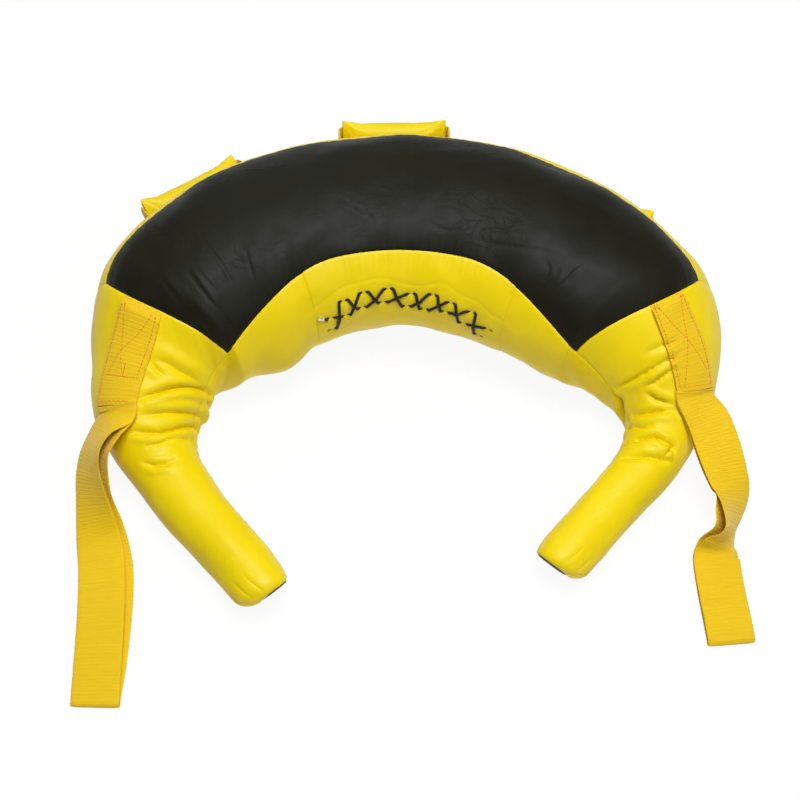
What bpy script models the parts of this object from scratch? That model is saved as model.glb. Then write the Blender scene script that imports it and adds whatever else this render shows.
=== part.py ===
"""Crescent sandbag trainer: a stuffed leather tube bent to a crescent, with two tapered grips,
a laced filling closure on its inner side, three padded grab handles and two webbing loops.

Metres, +Z up. The bag lies on the floor at z = 0 with its crown towards +Y and its grips
towards -Y. A place on the body is a station, the distance along its centre line from the
middle of the crown, negative to the left, and an angle in the section there: 0 degrees points
out of the crescent, 90 up, 180 into the crescent and 270 down.
"""
import math

import bmesh
import bpy
import numpy as np
from mathutils import Matrix, Vector

# Centre line of the body: a wide crown arc, a tighter elbow arc and a straight grip
CROWN_RADIUS = 0.269
CROWN_SWEEP_DEG = 50.5
ELBOW_RADIUS = 0.112
ELBOW_SWEEP_DEG = 80.0
GRIP_LENGTH_LEFT = 0.146
GRIP_LENGTH_RIGHT = 0.112
CROWN_MIDDLE_X = -0.010
CROWN_MIDDLE_Y = 0.1541

# Half widths of the body, seen from above: the left arm is stuffed fuller than the right one
CROWN_HALF_WIDTH = 0.0985
FLANK_HALF_WIDTH = 0.0980
LEFT_SHOULDER_HALF_WIDTH = 0.0845
LEFT_UPPER_ELBOW_HALF_WIDTH = 0.0590
LEFT_LOWER_ELBOW_HALF_WIDTH = 0.0440
LEFT_WRIST_HALF_WIDTH = 0.0302
LEFT_GRIP_END_HALF_WIDTH = 0.0242
RIGHT_SHOULDER_HALF_WIDTH = 0.0850
RIGHT_UPPER_ELBOW_HALF_WIDTH = 0.0602
RIGHT_LOWER_ELBOW_HALF_WIDTH = 0.0322
RIGHT_WRIST_HALF_WIDTH = 0.0250
RIGHT_GRIP_END_HALF_WIDTH = 0.0232
FLANK_SHARE = 0.55

# Drift of the elbows' sections towards the inner side of the bend, or away where negative
LEFT_ELBOW_DRIFT = 0.0080
RIGHT_ELBOW_DRIFT = -0.0038
DRIFT_PLACE_SHARE = 0.56
DRIFT_REACH_SHARE = 0.75

# Section: nearly round at the grips, flatter at the crown, pressed flat on the floor
SLIM_HALF_WIDTH = 0.025
SLIM_HEIGHT_SHARE = 0.97
WIDE_HALF_WIDTH = 0.095
WIDE_HEIGHT_SHARE = 0.80
FLOOR_SHARE = 0.94

# Grip ends: rounded over into a small disc that leans down and sits towards the inner side
END_ROUND = 0.014
END_BLEND = 0.030
END_LEAN_DEG = 23.0
CAP_RADIUS = 0.0150
CAP_OFFSET = 0.0044
END_RING_SHARES = (0.55, 0.22, 0.05, 0.0)

# Leather cover: wall, seam gap and the angles of the long seams
LEATHER = 0.0018
SEAM_GAP = 0.0003
OUTER_SEAM_DEG = 40.0
LOW_SEAM_DEG = 38.0
CROWN_INNER_SEAM_DEG = 134.0
ARM_INNER_SEAM_DEG = 167.0
INNER_SEAM_TURN_START = 0.075
INNER_SEAM_TURN_END = 0.345
OUTER_PARTS = 4
TOP_PARTS = 6
INNER_PARTS = 5
RING_STEP = 0.0215
PROBE = 0.0001
SHARP_EDGE_DEG = 40.0

# Cross seams
FRONT_PANEL_END = 0.255
FRONT_PANEL_BOW = 0.010
FRONT_PANEL_BOW_REACH = 0.050
CLOSURE_LEFT_END = 0.121
CLOSURE_RIGHT_END = 0.148

# Filling bags inside the cover
FILLING_CLEARANCE = 0.0010
FILLING_SPLIT = 0.0006
FILLING_RECESS = 0.0069
FILLING_END_SPACE = 0.0045

# Laced closure: two rows of paired slots on either side of a slit, and a tongue behind it
LACE_POINTS = 9
LACE_PITCH = 0.0287
LACE_MIDDLE = 0.015
LACE_ROW_DEG = 160.5
LACE_ROW_SPREAD_DEG = 11.5
LACE_ROW_DROP_DEG = 13.0
LACE_DIAMETER = 0.0024
LACE_CLEARANCE = 0.0003
LACE_CROSSING_GAP = 0.0005
LACE_TAIL = 0.004
LACE_TIP_LENGTH = 0.0065
LACE_TIP_RADIUS = 0.0015
SLOT_LENGTH = 0.0036
SLOT_WIDTH = 0.0033
SLOT_BRIDGE = 0.0024
SLOT_ENTRY = 0.00085
SLOT_EXIT = 0.0009
SLIT_WIDTH = 0.0015
SLIT_OVERRUN = 0.0075
SLIT_BORDER = 0.0040
TONGUE_DEPTH = 0.0048
TONGUE_WALL = 0.0014
TONGUE_MARGIN_DEG = 6.5

# Grab handles: a webbing bow through a padded leather sleeve
HANDLE_LENGTH = 0.102
HANDLE_REACH = 0.032
HANDLE_MIDDLE_THICKNESS = 0.024
HANDLE_MIDDLE_HEIGHT = 0.030
HANDLE_END_THICKNESS = 0.0096
HANDLE_END_HEIGHT = 0.037
HANDLE_WALL = 0.0014
HANDLE_WEBBING = 0.0024
HANDLE_WEBBING_WIDTH = 0.025
HANDLE_LEG_CLEARANCE = 0.0035
HANDLE_BEND_RADIUS = 0.003
HANDLE_ROOT_RADIUS = 0.0027
HANDLE_NECK_REACH = 0.010
HANDLE_NECK_WIDTH = 0.014
HANDLE_FULL_WIDTH_REACH = 0.020
HANDLE_CLEARANCE = 0.0003
PAD_END_SPACE = 0.006
HANDLE_RING_POINTS = 12
HANDLE_RINGS = 7
CENTER_HANDLE_SHARE = -0.017
CENTER_HANDLE_TILT_DEG = -15.0
LEFT_HANDLE_SHARE = -0.618
LEFT_HANDLE_TILT_DEG = -37.0
RIGHT_HANDLE_SHARE = 0.616
RIGHT_HANDLE_TILT_DEG = -60.0
PATCH_WALL = 0.0016
PATCH_GAP = 0.0004
PATCH_OVERRUN = 0.0095
PATCH_WIDTH = 0.018

# Webbing loops: both ends of a strap sewn as one stack to the shoulder, the rest a free loop
STRAP_WIDTH = 0.040
STRAP_THICKNESS = 0.0021
STRAP_LAYER_GAP = 0.0003
STRAP_GAP = 0.0008
STRAP_TACK_GAP = 0.0004
STRAP_PIN_RISE = 0.0002
STRAP_LEAD = 0.007
STRAP_STEP = 0.011
STRAP_BASE_COLUMNS = 9
STRAP_BASE_ROWS = 5
LEFT_STRAP_START = 0.2645
LEFT_STRAP_END = 0.3375
LEFT_STRAP_ANGLES_DEG = (83.5, 76.0, 57.0)
RIGHT_STRAP_START = 0.2615
RIGHT_STRAP_END = 0.3185
RIGHT_STRAP_ANGLES_DEG = (83.0, 77.0, 56.0)

# Free route of each loop's upper layer: x and y from its bar tack, height over the floor, then
# the turn and the roll of its width in degrees, and the space to the lower layer
LEFT_LOOP_ROUTE = (
    (-0.0238, -0.0290, 0.0530, -34.0, 55.0, 0.0032),
    (-0.0278, -0.0452, 0.0330, -23.0, 53.0, 0.0042),
    (-0.0240, -0.0693, 0.0235, -10.0, 45.0, 0.0056),
    (-0.0160, -0.0973, 0.0190, 0.0, 29.0, 0.0082),
    (-0.0092, -0.1213, 0.0145, 0.0, 9.0, 0.0112),
    (-0.0044, -0.1573, 0.0132, 0.0, 0.0, 0.0120),
    (-0.0026, -0.1933, 0.0128, 0.0, 0.0, 0.0116),
    (-0.0030, -0.2273, 0.0096, 0.0, 0.0, 0.0084),
    (-0.0034, -0.2503, 0.0066, 0.0, 0.0, 0.0054),
)
RIGHT_LOOP_ROUTE = (
    (0.0176, -0.0282, 0.0540, 10.0, -20.0, 0.0032),
    (0.0239, -0.0490, 0.0390, 9.0, -24.0, 0.0040),
    (0.0309, -0.0718, 0.0300, 0.0, -40.0, 0.0050),
    (0.0314, -0.0918, 0.0258, 0.0, -56.0, 0.0060),
    (0.0254, -0.1138, 0.0236, 0.0, -60.0, 0.0072),
    (0.0170, -0.1338, 0.0172, 0.0, -30.0, 0.0096),
    (0.0138, -0.1538, 0.0126, 0.0, 0.0, 0.0114),
    (0.0149, -0.1798, 0.0120, 0.0, 0.0, 0.0108),
    (0.0164, -0.2018, 0.0090, 0.0, 0.0, 0.0078),
    (0.0172, -0.2126, 0.0070, 0.0, 0.0, 0.0058),
)

MATERIALS = {
    "leather_yellow": ((0.78, 0.58, 0.012), 0.38, 0.0),
    "leather_black": ((0.022, 0.022, 0.016), 0.42, 0.0),
    "webbing_yellow": ((0.72, 0.46, 0.010), 0.72, 0.0),
    "lace_black": ((0.012, 0.012, 0.012), 0.70, 0.0),
    "crimp_metal": ((0.66, 0.66, 0.64), 0.30, 1.0),
    "filling_canvas": ((0.36, 0.33, 0.27), 0.90, 0.0),
    "pad_foam": ((0.16, 0.16, 0.16), 0.95, 0.0),
}


def clear_scene():
    """Removes the start-up objects."""
    for item in list(bpy.data.objects):
        bpy.data.objects.remove(item, do_unlink=True)


def make_materials():
    """One Principled material for each entry of the table."""
    made = {}
    for name, (colour, roughness, metallic) in MATERIALS.items():
        material = bpy.data.materials.new(name)
        material.use_nodes = True
        shader = material.node_tree.nodes["Principled BSDF"]
        shader.inputs["Base Color"].default_value = (*colour, 1.0)
        shader.inputs["Roughness"].default_value = roughness
        shader.inputs["Metallic"].default_value = metallic
        material.diffuse_color = (*colour, 1.0)
        made[name] = material
    return made


def finish(name, bm, material, place=None):
    """Turns a bmesh into a named, smoothly shaded object placed by a matrix.

    Each quad is split along its shorter diagonal, so that nested skins bend alike.
    """
    bmesh.ops.triangulate(bm, faces=bm.faces[:], quad_method="SHORT_EDGE")
    bmesh.ops.recalc_face_normals(bm, faces=bm.faces[:])
    mesh = bpy.data.meshes.new(name)
    bm.to_mesh(mesh)
    bm.free()
    mesh.shade_smooth()
    mesh.set_sharp_from_angle(angle=math.radians(SHARP_EDGE_DEG))
    mesh.materials.append(material)
    item = bpy.data.objects.new(name, mesh)
    if place is not None:
        item.matrix_world = place
    bpy.context.scene.collection.objects.link(item)
    return item


def steps(first, last, count):
    """Evenly spaced plain numbers from the first to the last."""
    return np.linspace(first, last, count).tolist()


def ease(share):
    """A share held between 0 and 1 and smoothed at both ends."""
    share = min(max(share, 0.0), 1.0)
    return share * share * (3.0 - 2.0 * share)


def crown_arc():
    """Length of the centre line from the crown's middle to the start of an elbow."""
    return CROWN_RADIUS * math.radians(CROWN_SWEEP_DEG)


def elbow_arc():
    """Length of the centre line round an elbow."""
    return ELBOW_RADIUS * math.radians(ELBOW_SWEEP_DEG)


def half_length(side):
    """Length of the centre line from the middle of the crown to one grip end."""
    grip = GRIP_LENGTH_RIGHT if side > 0 else GRIP_LENGTH_LEFT
    return crown_arc() + elbow_arc() + grip


def side_of(station):
    """1 on the right arm and -1 on the left one."""
    return 1.0 if station >= 0 else -1.0


def centre_line(station):
    """The middle of the body on the floor plan at a station, and its heading there."""
    side = side_of(station)
    arc = abs(station)
    crown_turn = min(arc, crown_arc()) / CROWN_RADIUS
    elbow = min(max(arc - crown_arc(), 0.0), elbow_arc())
    straight = max(arc - crown_arc() - elbow_arc(), 0.0)
    turn = crown_turn + elbow / ELBOW_RADIUS
    x = CROWN_RADIUS * math.sin(crown_turn)
    x += ELBOW_RADIUS * (math.sin(turn) - math.sin(crown_turn)) + straight * math.cos(turn)
    y = CROWN_RADIUS * (math.cos(crown_turn) - 1.0)
    y += ELBOW_RADIUS * (math.cos(turn) - math.cos(crown_turn)) - straight * math.sin(turn)
    return Vector((CROWN_MIDDLE_X + side * x, CROWN_MIDDLE_Y + y, 0.0)), side * turn


def monotone(value, knots, heights):
    """A smooth curve through the heights at the knots that never overshoots them."""
    spans = np.diff(knots)
    slopes = np.diff(heights) / spans
    tangents = np.zeros(len(knots))
    for i in range(1, len(knots) - 1):
        if slopes[i - 1] * slopes[i] > 0:
            first = 2.0 * spans[i] + spans[i - 1]
            second = spans[i] + 2.0 * spans[i - 1]
            tangents[i] = (first + second) / (first / slopes[i - 1] + second / slopes[i])
    tangents[-1] = slopes[-1]
    i = int(min(max(np.searchsorted(knots, value) - 1, 0), len(spans) - 1))
    t = (value - knots[i]) / spans[i]
    rise = t * t * (3.0 - 2.0 * t)
    bend = tangents[i] * t * (1.0 - t) ** 2 - tangents[i + 1] * t * t * (1.0 - t)
    return heights[i] + rise * (heights[i + 1] - heights[i]) + bend * spans[i]


def half_width(station):
    """Half width of the body at a station, before its end is rounded."""
    side = side_of(station)
    crown = crown_arc()
    elbow = elbow_arc()
    knots = (0.0, FLANK_SHARE * crown, crown, crown + elbow / 3.0, crown + elbow * 2.0 / 3.0)
    knots += (crown + elbow, half_length(side))
    widths = (CROWN_HALF_WIDTH, FLANK_HALF_WIDTH, *arm_half_widths(side))
    return float(monotone(abs(station), np.array(knots), np.array(widths)))


def arm_half_widths(side):
    """Half widths at the shoulder, down the elbow, at the wrist and at the end of one grip."""
    if side > 0:
        elbow = (RIGHT_UPPER_ELBOW_HALF_WIDTH, RIGHT_LOWER_ELBOW_HALF_WIDTH)
        return (RIGHT_SHOULDER_HALF_WIDTH, *elbow, RIGHT_WRIST_HALF_WIDTH, RIGHT_GRIP_END_HALF_WIDTH)
    elbow = (LEFT_UPPER_ELBOW_HALF_WIDTH, LEFT_LOWER_ELBOW_HALF_WIDTH)
    return (LEFT_SHOULDER_HALF_WIDTH, *elbow, LEFT_WRIST_HALF_WIDTH, LEFT_GRIP_END_HALF_WIDTH)


def drift(station):
    """How far a section sits towards the inner side of the bend."""
    most = RIGHT_ELBOW_DRIFT if station > 0 else LEFT_ELBOW_DRIFT
    away = abs(station) - crown_arc() - DRIFT_PLACE_SHARE * elbow_arc()
    share = min(abs(away) / (DRIFT_REACH_SHARE * elbow_arc()), 1.0)
    return most * (1.0 - share * share) ** 2


def half_height(width):
    """Half height of a section of a given half width."""
    share = (width - SLIM_HALF_WIDTH) / (WIDE_HALF_WIDTH - SLIM_HALF_WIDTH)
    share = min(max(share, 0.0), 1.0)
    return width * (SLIM_HEIGHT_SHARE + share * (WIDE_HEIGHT_SHARE - SLIM_HEIGHT_SHARE))


def surface(station, angle_deg):
    """A point of the outer surface of the cover."""
    side = side_of(station)
    middle, heading = centre_line(station)
    along = Vector((math.cos(heading), -math.sin(heading), 0.0))
    outward = Vector((math.sin(heading), math.cos(heading), 0.0))
    width = half_width(station)
    height = half_height(width)
    lift = FLOOR_SHARE * height
    to_end = max(half_length(side) - abs(station), 0.0)
    rest = 1.0 - min(to_end / END_ROUND, 1.0)
    curl = 1.0 - math.sqrt(1.0 - rest * rest)
    drawn_in = curl * (arm_half_widths(side)[-1] - CAP_RADIUS)
    width -= drawn_in
    height -= drawn_in * SLIM_HEIGHT_SHARE
    angle = math.radians(angle_deg)
    across = width * math.cos(angle) - curl * CAP_OFFSET - drift(station)
    up = max(lift + height * math.sin(angle), 0.0)
    lean = side * math.tan(math.radians(END_LEAN_DEG)) * ease(1.0 - to_end / END_BLEND)
    return middle + outward * across + along * lean * (up - lift) + Vector((0.0, 0.0, up))


def slopes_at(station, angle_deg):
    """Change of the surface point for a metre of station and for a degree of angle."""
    side = side_of(station)
    limit = half_length(side)
    ahead = min(station + PROBE, limit) if side > 0 else station + PROBE
    behind = max(station - PROBE, -limit) if side < 0 else station - PROBE
    along = (surface(ahead, angle_deg) - surface(behind, angle_deg)) / (ahead - behind)
    turn = math.degrees(PROBE / half_width(station))
    around = surface(station, angle_deg + turn) - surface(station, angle_deg - turn)
    return along, around / (2.0 * turn)


def skin_point(station, angle_deg, depth=0.0):
    """A point at a depth below the outer surface, or above it where the depth is negative."""
    along, around = slopes_at(station, angle_deg)
    normal = around.cross(along).normalized()
    return surface(station, angle_deg) - normal * depth


def inner_seam(station):
    """Angle of the seam between the top and the inner side, which drops along the arm."""
    turned = abs(station) - INNER_SEAM_TURN_START
    share = ease(turned / (INNER_SEAM_TURN_END - INNER_SEAM_TURN_START))
    return CROWN_INNER_SEAM_DEG + share * (ARM_INNER_SEAM_DEG - CROWN_INNER_SEAM_DEG)


def ring_angles(station):
    """Angles of the long grid lines, once round from the outer low seam."""
    fold = math.degrees(math.asin(FLOOR_SHARE))
    outer = steps(-LOW_SEAM_DEG, OUTER_SEAM_DEG, OUTER_PARTS + 1)
    top = steps(OUTER_SEAM_DEG, inner_seam(station), TOP_PARTS + 1)
    inner = steps(inner_seam(station), 180.0 + LOW_SEAM_DEG, INNER_PARTS + 1)
    half = (LOW_SEAM_DEG + fold) / 2.0
    back = (180.0 + half, 180.0 + fold, 360.0 - fold, 360.0 - half, 360.0 - LOW_SEAM_DEG)
    return [*outer, *top[1:], *inner[1:], *back]


OUTER_LINE = 0
TOP_LINE = OUTER_PARTS
INNER_LINE = TOP_LINE + TOP_PARTS
BACK_LINE = INNER_LINE + INNER_PARTS
LAST_LINE = BACK_LINE + 5


def stations_between(*ends):
    """Evenly stepped stations that hold each of the given ends."""
    found = [ends[0]]
    for first, last in zip(ends, ends[1:]):
        count = max(round(abs(last - first) / RING_STEP), 1)
        found += steps(first, last, count + 1)[1:]
    return found


def bowed(station, angle_deg):
    """Moves a station beside the ends of the front panel onto the bow of its cross seam."""
    seam = inner_seam(FRONT_PANEL_END)
    share = (angle_deg - OUTER_SEAM_DEG) / (seam - OUTER_SEAM_DEG)
    bow = FRONT_PANEL_BOW * math.sin(math.pi * min(max(share, 0.0), 1.0))
    near = 1.0 - abs(abs(station) - FRONT_PANEL_END) / FRONT_PANEL_BOW_REACH
    return station + side_of(station) * bow * max(near, 0.0)


def inset(station, angle_deg, station_way, angle_way):
    """Draws a border point back from its seam by half the seam gap."""
    along, around = slopes_at(station, angle_deg)
    station += station_way * SEAM_GAP / 2.0 / along.length
    angle_deg += angle_way * SEAM_GAP / 2.0 / around.length
    return station, angle_deg


def shell(name, material, grid, depth=0.0, wall=LEATHER, missing=()):
    """A leather panel: a grid of (station, angle) points laid at a depth and thickened inwards."""
    bm = bmesh.new()
    station_layer = bm.verts.layers.float.new("station")
    angle_layer = bm.verts.layers.float.new("angle")
    last_column = len(grid) - 1
    last_row = len(grid[0]) - 1
    columns = []
    for i, column in enumerate(grid):
        line = []
        for j, (station, angle) in enumerate(column):
            station_way = (i == 0) - (i == last_column)
            angle_way = (j == 0) - (j == last_row)
            station, angle = inset(station, angle, station_way, angle_way)
            vertex = bm.verts.new(skin_point(station, angle, depth))
            vertex[station_layer] = station
            vertex[angle_layer] = angle
            line.append(vertex)
        columns.append(line)
    for i in range(last_column):
        for j in range(last_row):
            if (i, j) not in missing:
                near, far = columns[i], columns[i + 1]
                bm.faces.new((near[j], near[j + 1], far[j + 1], far[j]))
    loose = [vertex for vertex in bm.verts if not vertex.link_faces]
    bmesh.ops.delete(bm, geom=loose, context="VERTS")
    made = bmesh.ops.extrude_face_region(bm, geom=bm.faces[:], use_keep_orig=True)
    for vertex in made["geom"]:
        if isinstance(vertex, bmesh.types.BMVert):
            vertex.co = skin_point(vertex[station_layer], vertex[angle_layer], depth + wall)
    return finish(name, bm, material)


def panel(name, material, stations, first_line, last_line, bow=False):
    """A cover panel between two long grid lines."""
    grid = []
    for station in stations:
        angles = ring_angles(station)[first_line : last_line + 1]
        column = [(bowed(station, a) if bow else station, a) for a in angles]
        grid.append(column)
    return shell(name, material, grid)


def ring_solid(name, material, rings, fanned=False):
    """A closed solid through rings of points, with a face or a fan of faces over each end."""
    bm = bmesh.new()
    loops = [[bm.verts.new(point) for point in ring] for ring in rings]
    count = len(loops[0])
    for near, far in zip(loops, loops[1:]):
        for j in range(count):
            k = (j + 1) % count
            bm.faces.new((near[j], near[k], far[k], far[j]))
    ends = [bm.faces.new(loops[0]), bm.faces.new(loops[-1])]
    if fanned:
        bmesh.ops.poke(bm, faces=ends)
    return finish(name, bm, material)


def build_cover(materials):
    """The leather panels: black top and underside, yellow sides and sleeves."""
    yellow = materials["leather_yellow"]
    black = materials["leather_black"]
    middle = stations_between(
        -FRONT_PANEL_END, -CLOSURE_LEFT_END, CLOSURE_RIGHT_END, FRONT_PANEL_END
    )
    panel("front_panel", black, middle, TOP_LINE, INNER_LINE, bow=True)
    panel("outer_panel", yellow, middle, OUTER_LINE, TOP_LINE)
    panel("back_panel", black, middle, BACK_LINE, LAST_LINE)
    for side, word in ((-1.0, "left"), (1.0, "right")):
        elbow_end = crown_arc() + elbow_arc()
        curl_start = half_length(side) - END_ROUND
        closure = CLOSURE_RIGHT_END if side > 0 else CLOSURE_LEFT_END
        arm = stations_between(FRONT_PANEL_END, elbow_end, curl_start)
        arm += [half_length(side) - END_ROUND * share for share in END_RING_SHARES]
        shoulder = stations_between(closure, FRONT_PANEL_END)
        sleeve = sorted(side * station for station in arm)
        inner = sorted(side * station for station in shoulder[:-1] + arm)
        panel("front_sleeve_" + word, yellow, sleeve, OUTER_LINE, INNER_LINE, bow=True)
        panel("back_sleeve_" + word, black, sleeve, BACK_LINE, LAST_LINE)
        panel("inner_panel_" + word, yellow, inner, INNER_LINE, BACK_LINE)
        build_end_cap("end_cap_" + word, black, side)


def build_end_cap(name, material, side):
    """The small disc that closes a grip end."""
    station = side * half_length(side)
    ring = [surface(station, angle) for angle in ring_angles(station)[:-1]]
    middle = sum(ring, Vector()) / len(ring)
    shrink = 1.0 - SEAM_GAP / CAP_RADIUS
    front = [middle + (point - middle) * shrink for point in ring]
    quarter = len(front) // 4
    axis = (front[0] - middle).cross(front[quarter] - middle).normalized()
    _, heading = centre_line(station)
    away = Vector((math.cos(heading), -math.sin(heading), 0.0)) * side
    if axis.dot(away) < 0:
        axis.negate()
    back = [point - axis * LEATHER for point in front]
    ring_solid(name, material, [front, back])


def build_filling(materials):
    """The filling bags, one after the other inside the cover."""
    canvas = materials["filling_canvas"]
    filling_bag("filling_crown", canvas, -CLOSURE_LEFT_END, CLOSURE_RIGHT_END, recessed=True)
    for side, word in ((-1.0, "left"), (1.0, "right")):
        closure = CLOSURE_RIGHT_END if side > 0 else CLOSURE_LEFT_END
        elbow_end = crown_arc() + elbow_arc()
        end = half_length(side) - FILLING_END_SPACE
        filling_bag("filling_shoulder_" + word, canvas, side * closure, side * FRONT_PANEL_END)
        filling_bag("filling_elbow_" + word, canvas, side * FRONT_PANEL_END, side * elbow_end)
        filling_bag("filling_grip_" + word, canvas, side * elbow_end, side * end)


def filling_bag(name, material, first, last, recessed=False):
    """One filling bag, which follows the cover at its clearance."""
    first, last = sorted((first, last))
    stations = stations_between(first, last)
    stations[0] += FILLING_SPLIT / 2.0
    stations[-1] -= FILLING_SPLIT / 2.0
    rings = []
    for station in stations:
        ring = []
        for line, angle in enumerate(ring_angles(station)[:-1]):
            hollow = recessed and INNER_LINE < line < BACK_LINE
            depth = FILLING_RECESS if hollow else LEATHER + FILLING_CLEARANCE
            ring.append(skin_point(bowed(station, angle), angle, depth))
        rings.append(ring)
    ring_solid(name, material, rings, fanned=True)


def lace_station(index):
    """Station of a pair of lace slots."""
    return LACE_MIDDLE + (index - (LACE_POINTS - 1) / 2.0) * LACE_PITCH


def row_angle(station, row):
    """Angle of a lacing row, 0 the upper and 1 the lower, which drops at both ends."""
    reach = abs(station - LACE_MIDDLE) / (lace_station(LACE_POINTS - 1) - LACE_MIDDLE)
    drop = LACE_ROW_DROP_DEG * min(reach, 1.0) ** 4
    return LACE_ROW_DEG + drop + row * LACE_ROW_SPREAD_DEG


def leather_rates(station):
    """Metres of leather for a metre of station and for a degree at the lacing."""
    along, around = slopes_at(station, row_angle(station, 0.5))
    return along.length, around.length


def closure_columns():
    """Stations of the closure panel's grid, and the numbers of the columns that start a slot."""
    rate, _ = leather_rates(LACE_MIDDLE)
    first = lace_station(0) - SLIT_OVERRUN / rate
    last = lace_station(LACE_POINTS - 1) + SLIT_OVERRUN / rate
    stations = [-CLOSURE_LEFT_END, first]
    slots = []
    for index in range(LACE_POINTS):
        for way in (-1.0, 1.0):
            middle = way * (SLOT_BRIDGE + SLOT_LENGTH) / 2.0
            for end in (-1.0, 1.0):
                offset = middle + end * SLOT_LENGTH / 2.0
                stations.append(lace_station(index) + offset / rate)
            slots.append(len(stations) - 2)
    stations += [last, CLOSURE_RIGHT_END]
    return stations, slots


def build_closure(materials):
    """The laced centre panel, the tongue behind its slit, the lace and the lace's tip."""
    stations, slots = closure_columns()
    grid = []
    for station in stations:
        _, rate = leather_rates(station)
        upper = row_angle(station, 0.0)
        lower = row_angle(station, 1.0)
        middle = row_angle(station, 0.5)
        slot = SLOT_WIDTH / 2.0 / rate
        slit = SLIT_WIDTH / 2.0 / rate
        top = inner_seam(station)
        bottom = 180.0 + LOW_SEAM_DEG
        angles = [top, (top + upper) / 2.0, upper - slot, upper + slot, middle - slit]
        angles += [middle + slit, lower - slot, lower + slot]
        angles += steps(lower + slot, bottom, 3)[1:]
        grid.append([(station, angle) for angle in angles])
    upper_row, slit_row, lower_row = 2, 4, 6
    missing = {(column, row) for column in slots for row in (upper_row, lower_row)}
    missing |= {(column, slit_row) for column in range(1, len(stations) - 2)}
    yellow = materials["leather_yellow"]
    shell("inner_panel_center", yellow, grid, missing=missing)
    build_tongue(yellow, stations[1], stations[-2])
    build_lace(materials)


def build_tongue(material, first, last):
    """The leather tongue that closes the slit from behind."""
    rate, _ = leather_rates(LACE_MIDDLE)
    border = SLIT_BORDER / rate
    grid = []
    for station in stations_between(first - border, last + border):
        low = row_angle(station, 0.0) - TONGUE_MARGIN_DEG
        high = row_angle(station, 1.0) + TONGUE_MARGIN_DEG
        grid.append([(station, angle) for angle in steps(low, high, 6)])
    shell("closure_tongue", material, grid, depth=TONGUE_DEPTH, wall=TONGUE_WALL)


def lace_pass(index, row, way):
    """Four lace points through one pair of slots, in the direction of travel."""
    rate, _ = leather_rates(lace_station(index))
    above = LACE_DIAMETER / 2.0 + LACE_CLEARANCE
    below = -(LEATHER + LACE_DIAMETER / 2.0 + LACE_CLEARANCE)
    outer = SLOT_BRIDGE / 2.0 + SLOT_LENGTH - SLOT_ENTRY
    inner = SLOT_BRIDGE / 2.0 + SLOT_EXIT
    spots = ((-outer, above), (-inner, below), (inner, below), (outer, above))
    return [(lace_station(index) + way * x / rate, row, height) for x, height in spots]


def lace_route():
    """The whole lace as (station, row, height): out along one strand and back along the other."""
    rate, _ = leather_rates(LACE_MIDDLE)
    last = LACE_POINTS - 1
    out = []
    for index in range(LACE_POINTS):
        out += lace_pass(index, index % 2, 1.0)
    start = out[0]
    out.insert(0, (start[0] - LACE_TAIL / rate, -0.25, start[2]))
    crest = LACE_DIAMETER * 1.5 + LACE_CLEARANCE + LACE_CROSSING_GAP
    back = []
    for index in range(last, -1, -1):
        back += lace_pass(index, (index + 1) % 2, -1.0)
        if index > 0:
            middle = (lace_station(index) + lace_station(index - 1)) / 2.0
            back.append((middle, 0.5, crest))
    return out[:-2] + back[2:-1]


def build_lace(materials):
    """The lace as one cord, and the metal tip crimped over its free end."""
    points = []
    for station, row, height in lace_route():
        points.append(skin_point(station, row_angle(station, row), -height))
    curve = bpy.data.curves.new("lace", "CURVE")
    curve.dimensions = "3D"
    curve.bevel_depth = LACE_DIAMETER / 2.0
    curve.bevel_resolution = 1
    curve.use_fill_caps = True
    spline = curve.splines.new("POLY")
    spline.points.add(len(points) - 1)
    for spot, point in zip(spline.points, points):
        spot.co = (*point, 1.0)
    curve.materials.append(materials["lace_black"])
    lace = bpy.data.objects.new("lace", curve)
    bpy.context.scene.collection.objects.link(lace)
    away = (points[0] - points[1]).normalized()
    start = points[0] + away * LACE_CLEARANCE
    bm = bmesh.new()
    bmesh.ops.create_cone(
        bm,
        cap_ends=True,
        segments=10,
        radius1=LACE_TIP_RADIUS,
        radius2=LACE_TIP_RADIUS,
        depth=LACE_TIP_LENGTH,
    )
    place = Matrix.Translation(start + away * LACE_TIP_LENGTH / 2.0)
    place @= away.to_track_quat("Z", "Y").to_matrix().to_4x4()
    finish("lace_tip", bm, materials["crimp_metal"], place)


def leg_space():
    """Distance of a handle's legs from its middle, just outside its sleeve."""
    return HANDLE_LENGTH / 2.0 + HANDLE_LEG_CLEARANCE


def handle_frame(station, tilt_deg):
    """Frame on a handle's hinge: X along the hinge, Y out to the grip and Z up across it."""
    rate = slopes_at(station, 0.0)[0].length
    height = PATCH_GAP + PATCH_WALL + HANDLE_CLEARANCE + HANDLE_ROOT_RADIUS
    first = skin_point(station - leg_space() / rate, 0.0, -height)
    last = skin_point(station + leg_space() / rate, 0.0, -height)
    along = (last - first).normalized()
    flat_up = Vector((0.0, 0.0, 1.0))
    outward = flat_up.cross(along).normalized()
    up = along.cross(outward)
    tilt = Matrix.Rotation(math.radians(tilt_deg), 4, "X")
    frame = Matrix((along, outward, up)).transposed().to_4x4()
    return Matrix.Translation((first + last) / 2.0) @ frame @ tilt


def handle_section(x):
    """Half thickness and half height of a handle's sleeve at a distance from its middle."""
    share = abs(x / (HANDLE_LENGTH / 2.0)) ** 3
    thickness = HANDLE_MIDDLE_THICKNESS + share * (HANDLE_END_THICKNESS - HANDLE_MIDDLE_THICKNESS)
    height = HANDLE_MIDDLE_HEIGHT + share * (HANDLE_END_HEIGHT - HANDLE_MIDDLE_HEIGHT)
    return thickness / 2.0, height / 2.0


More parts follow.
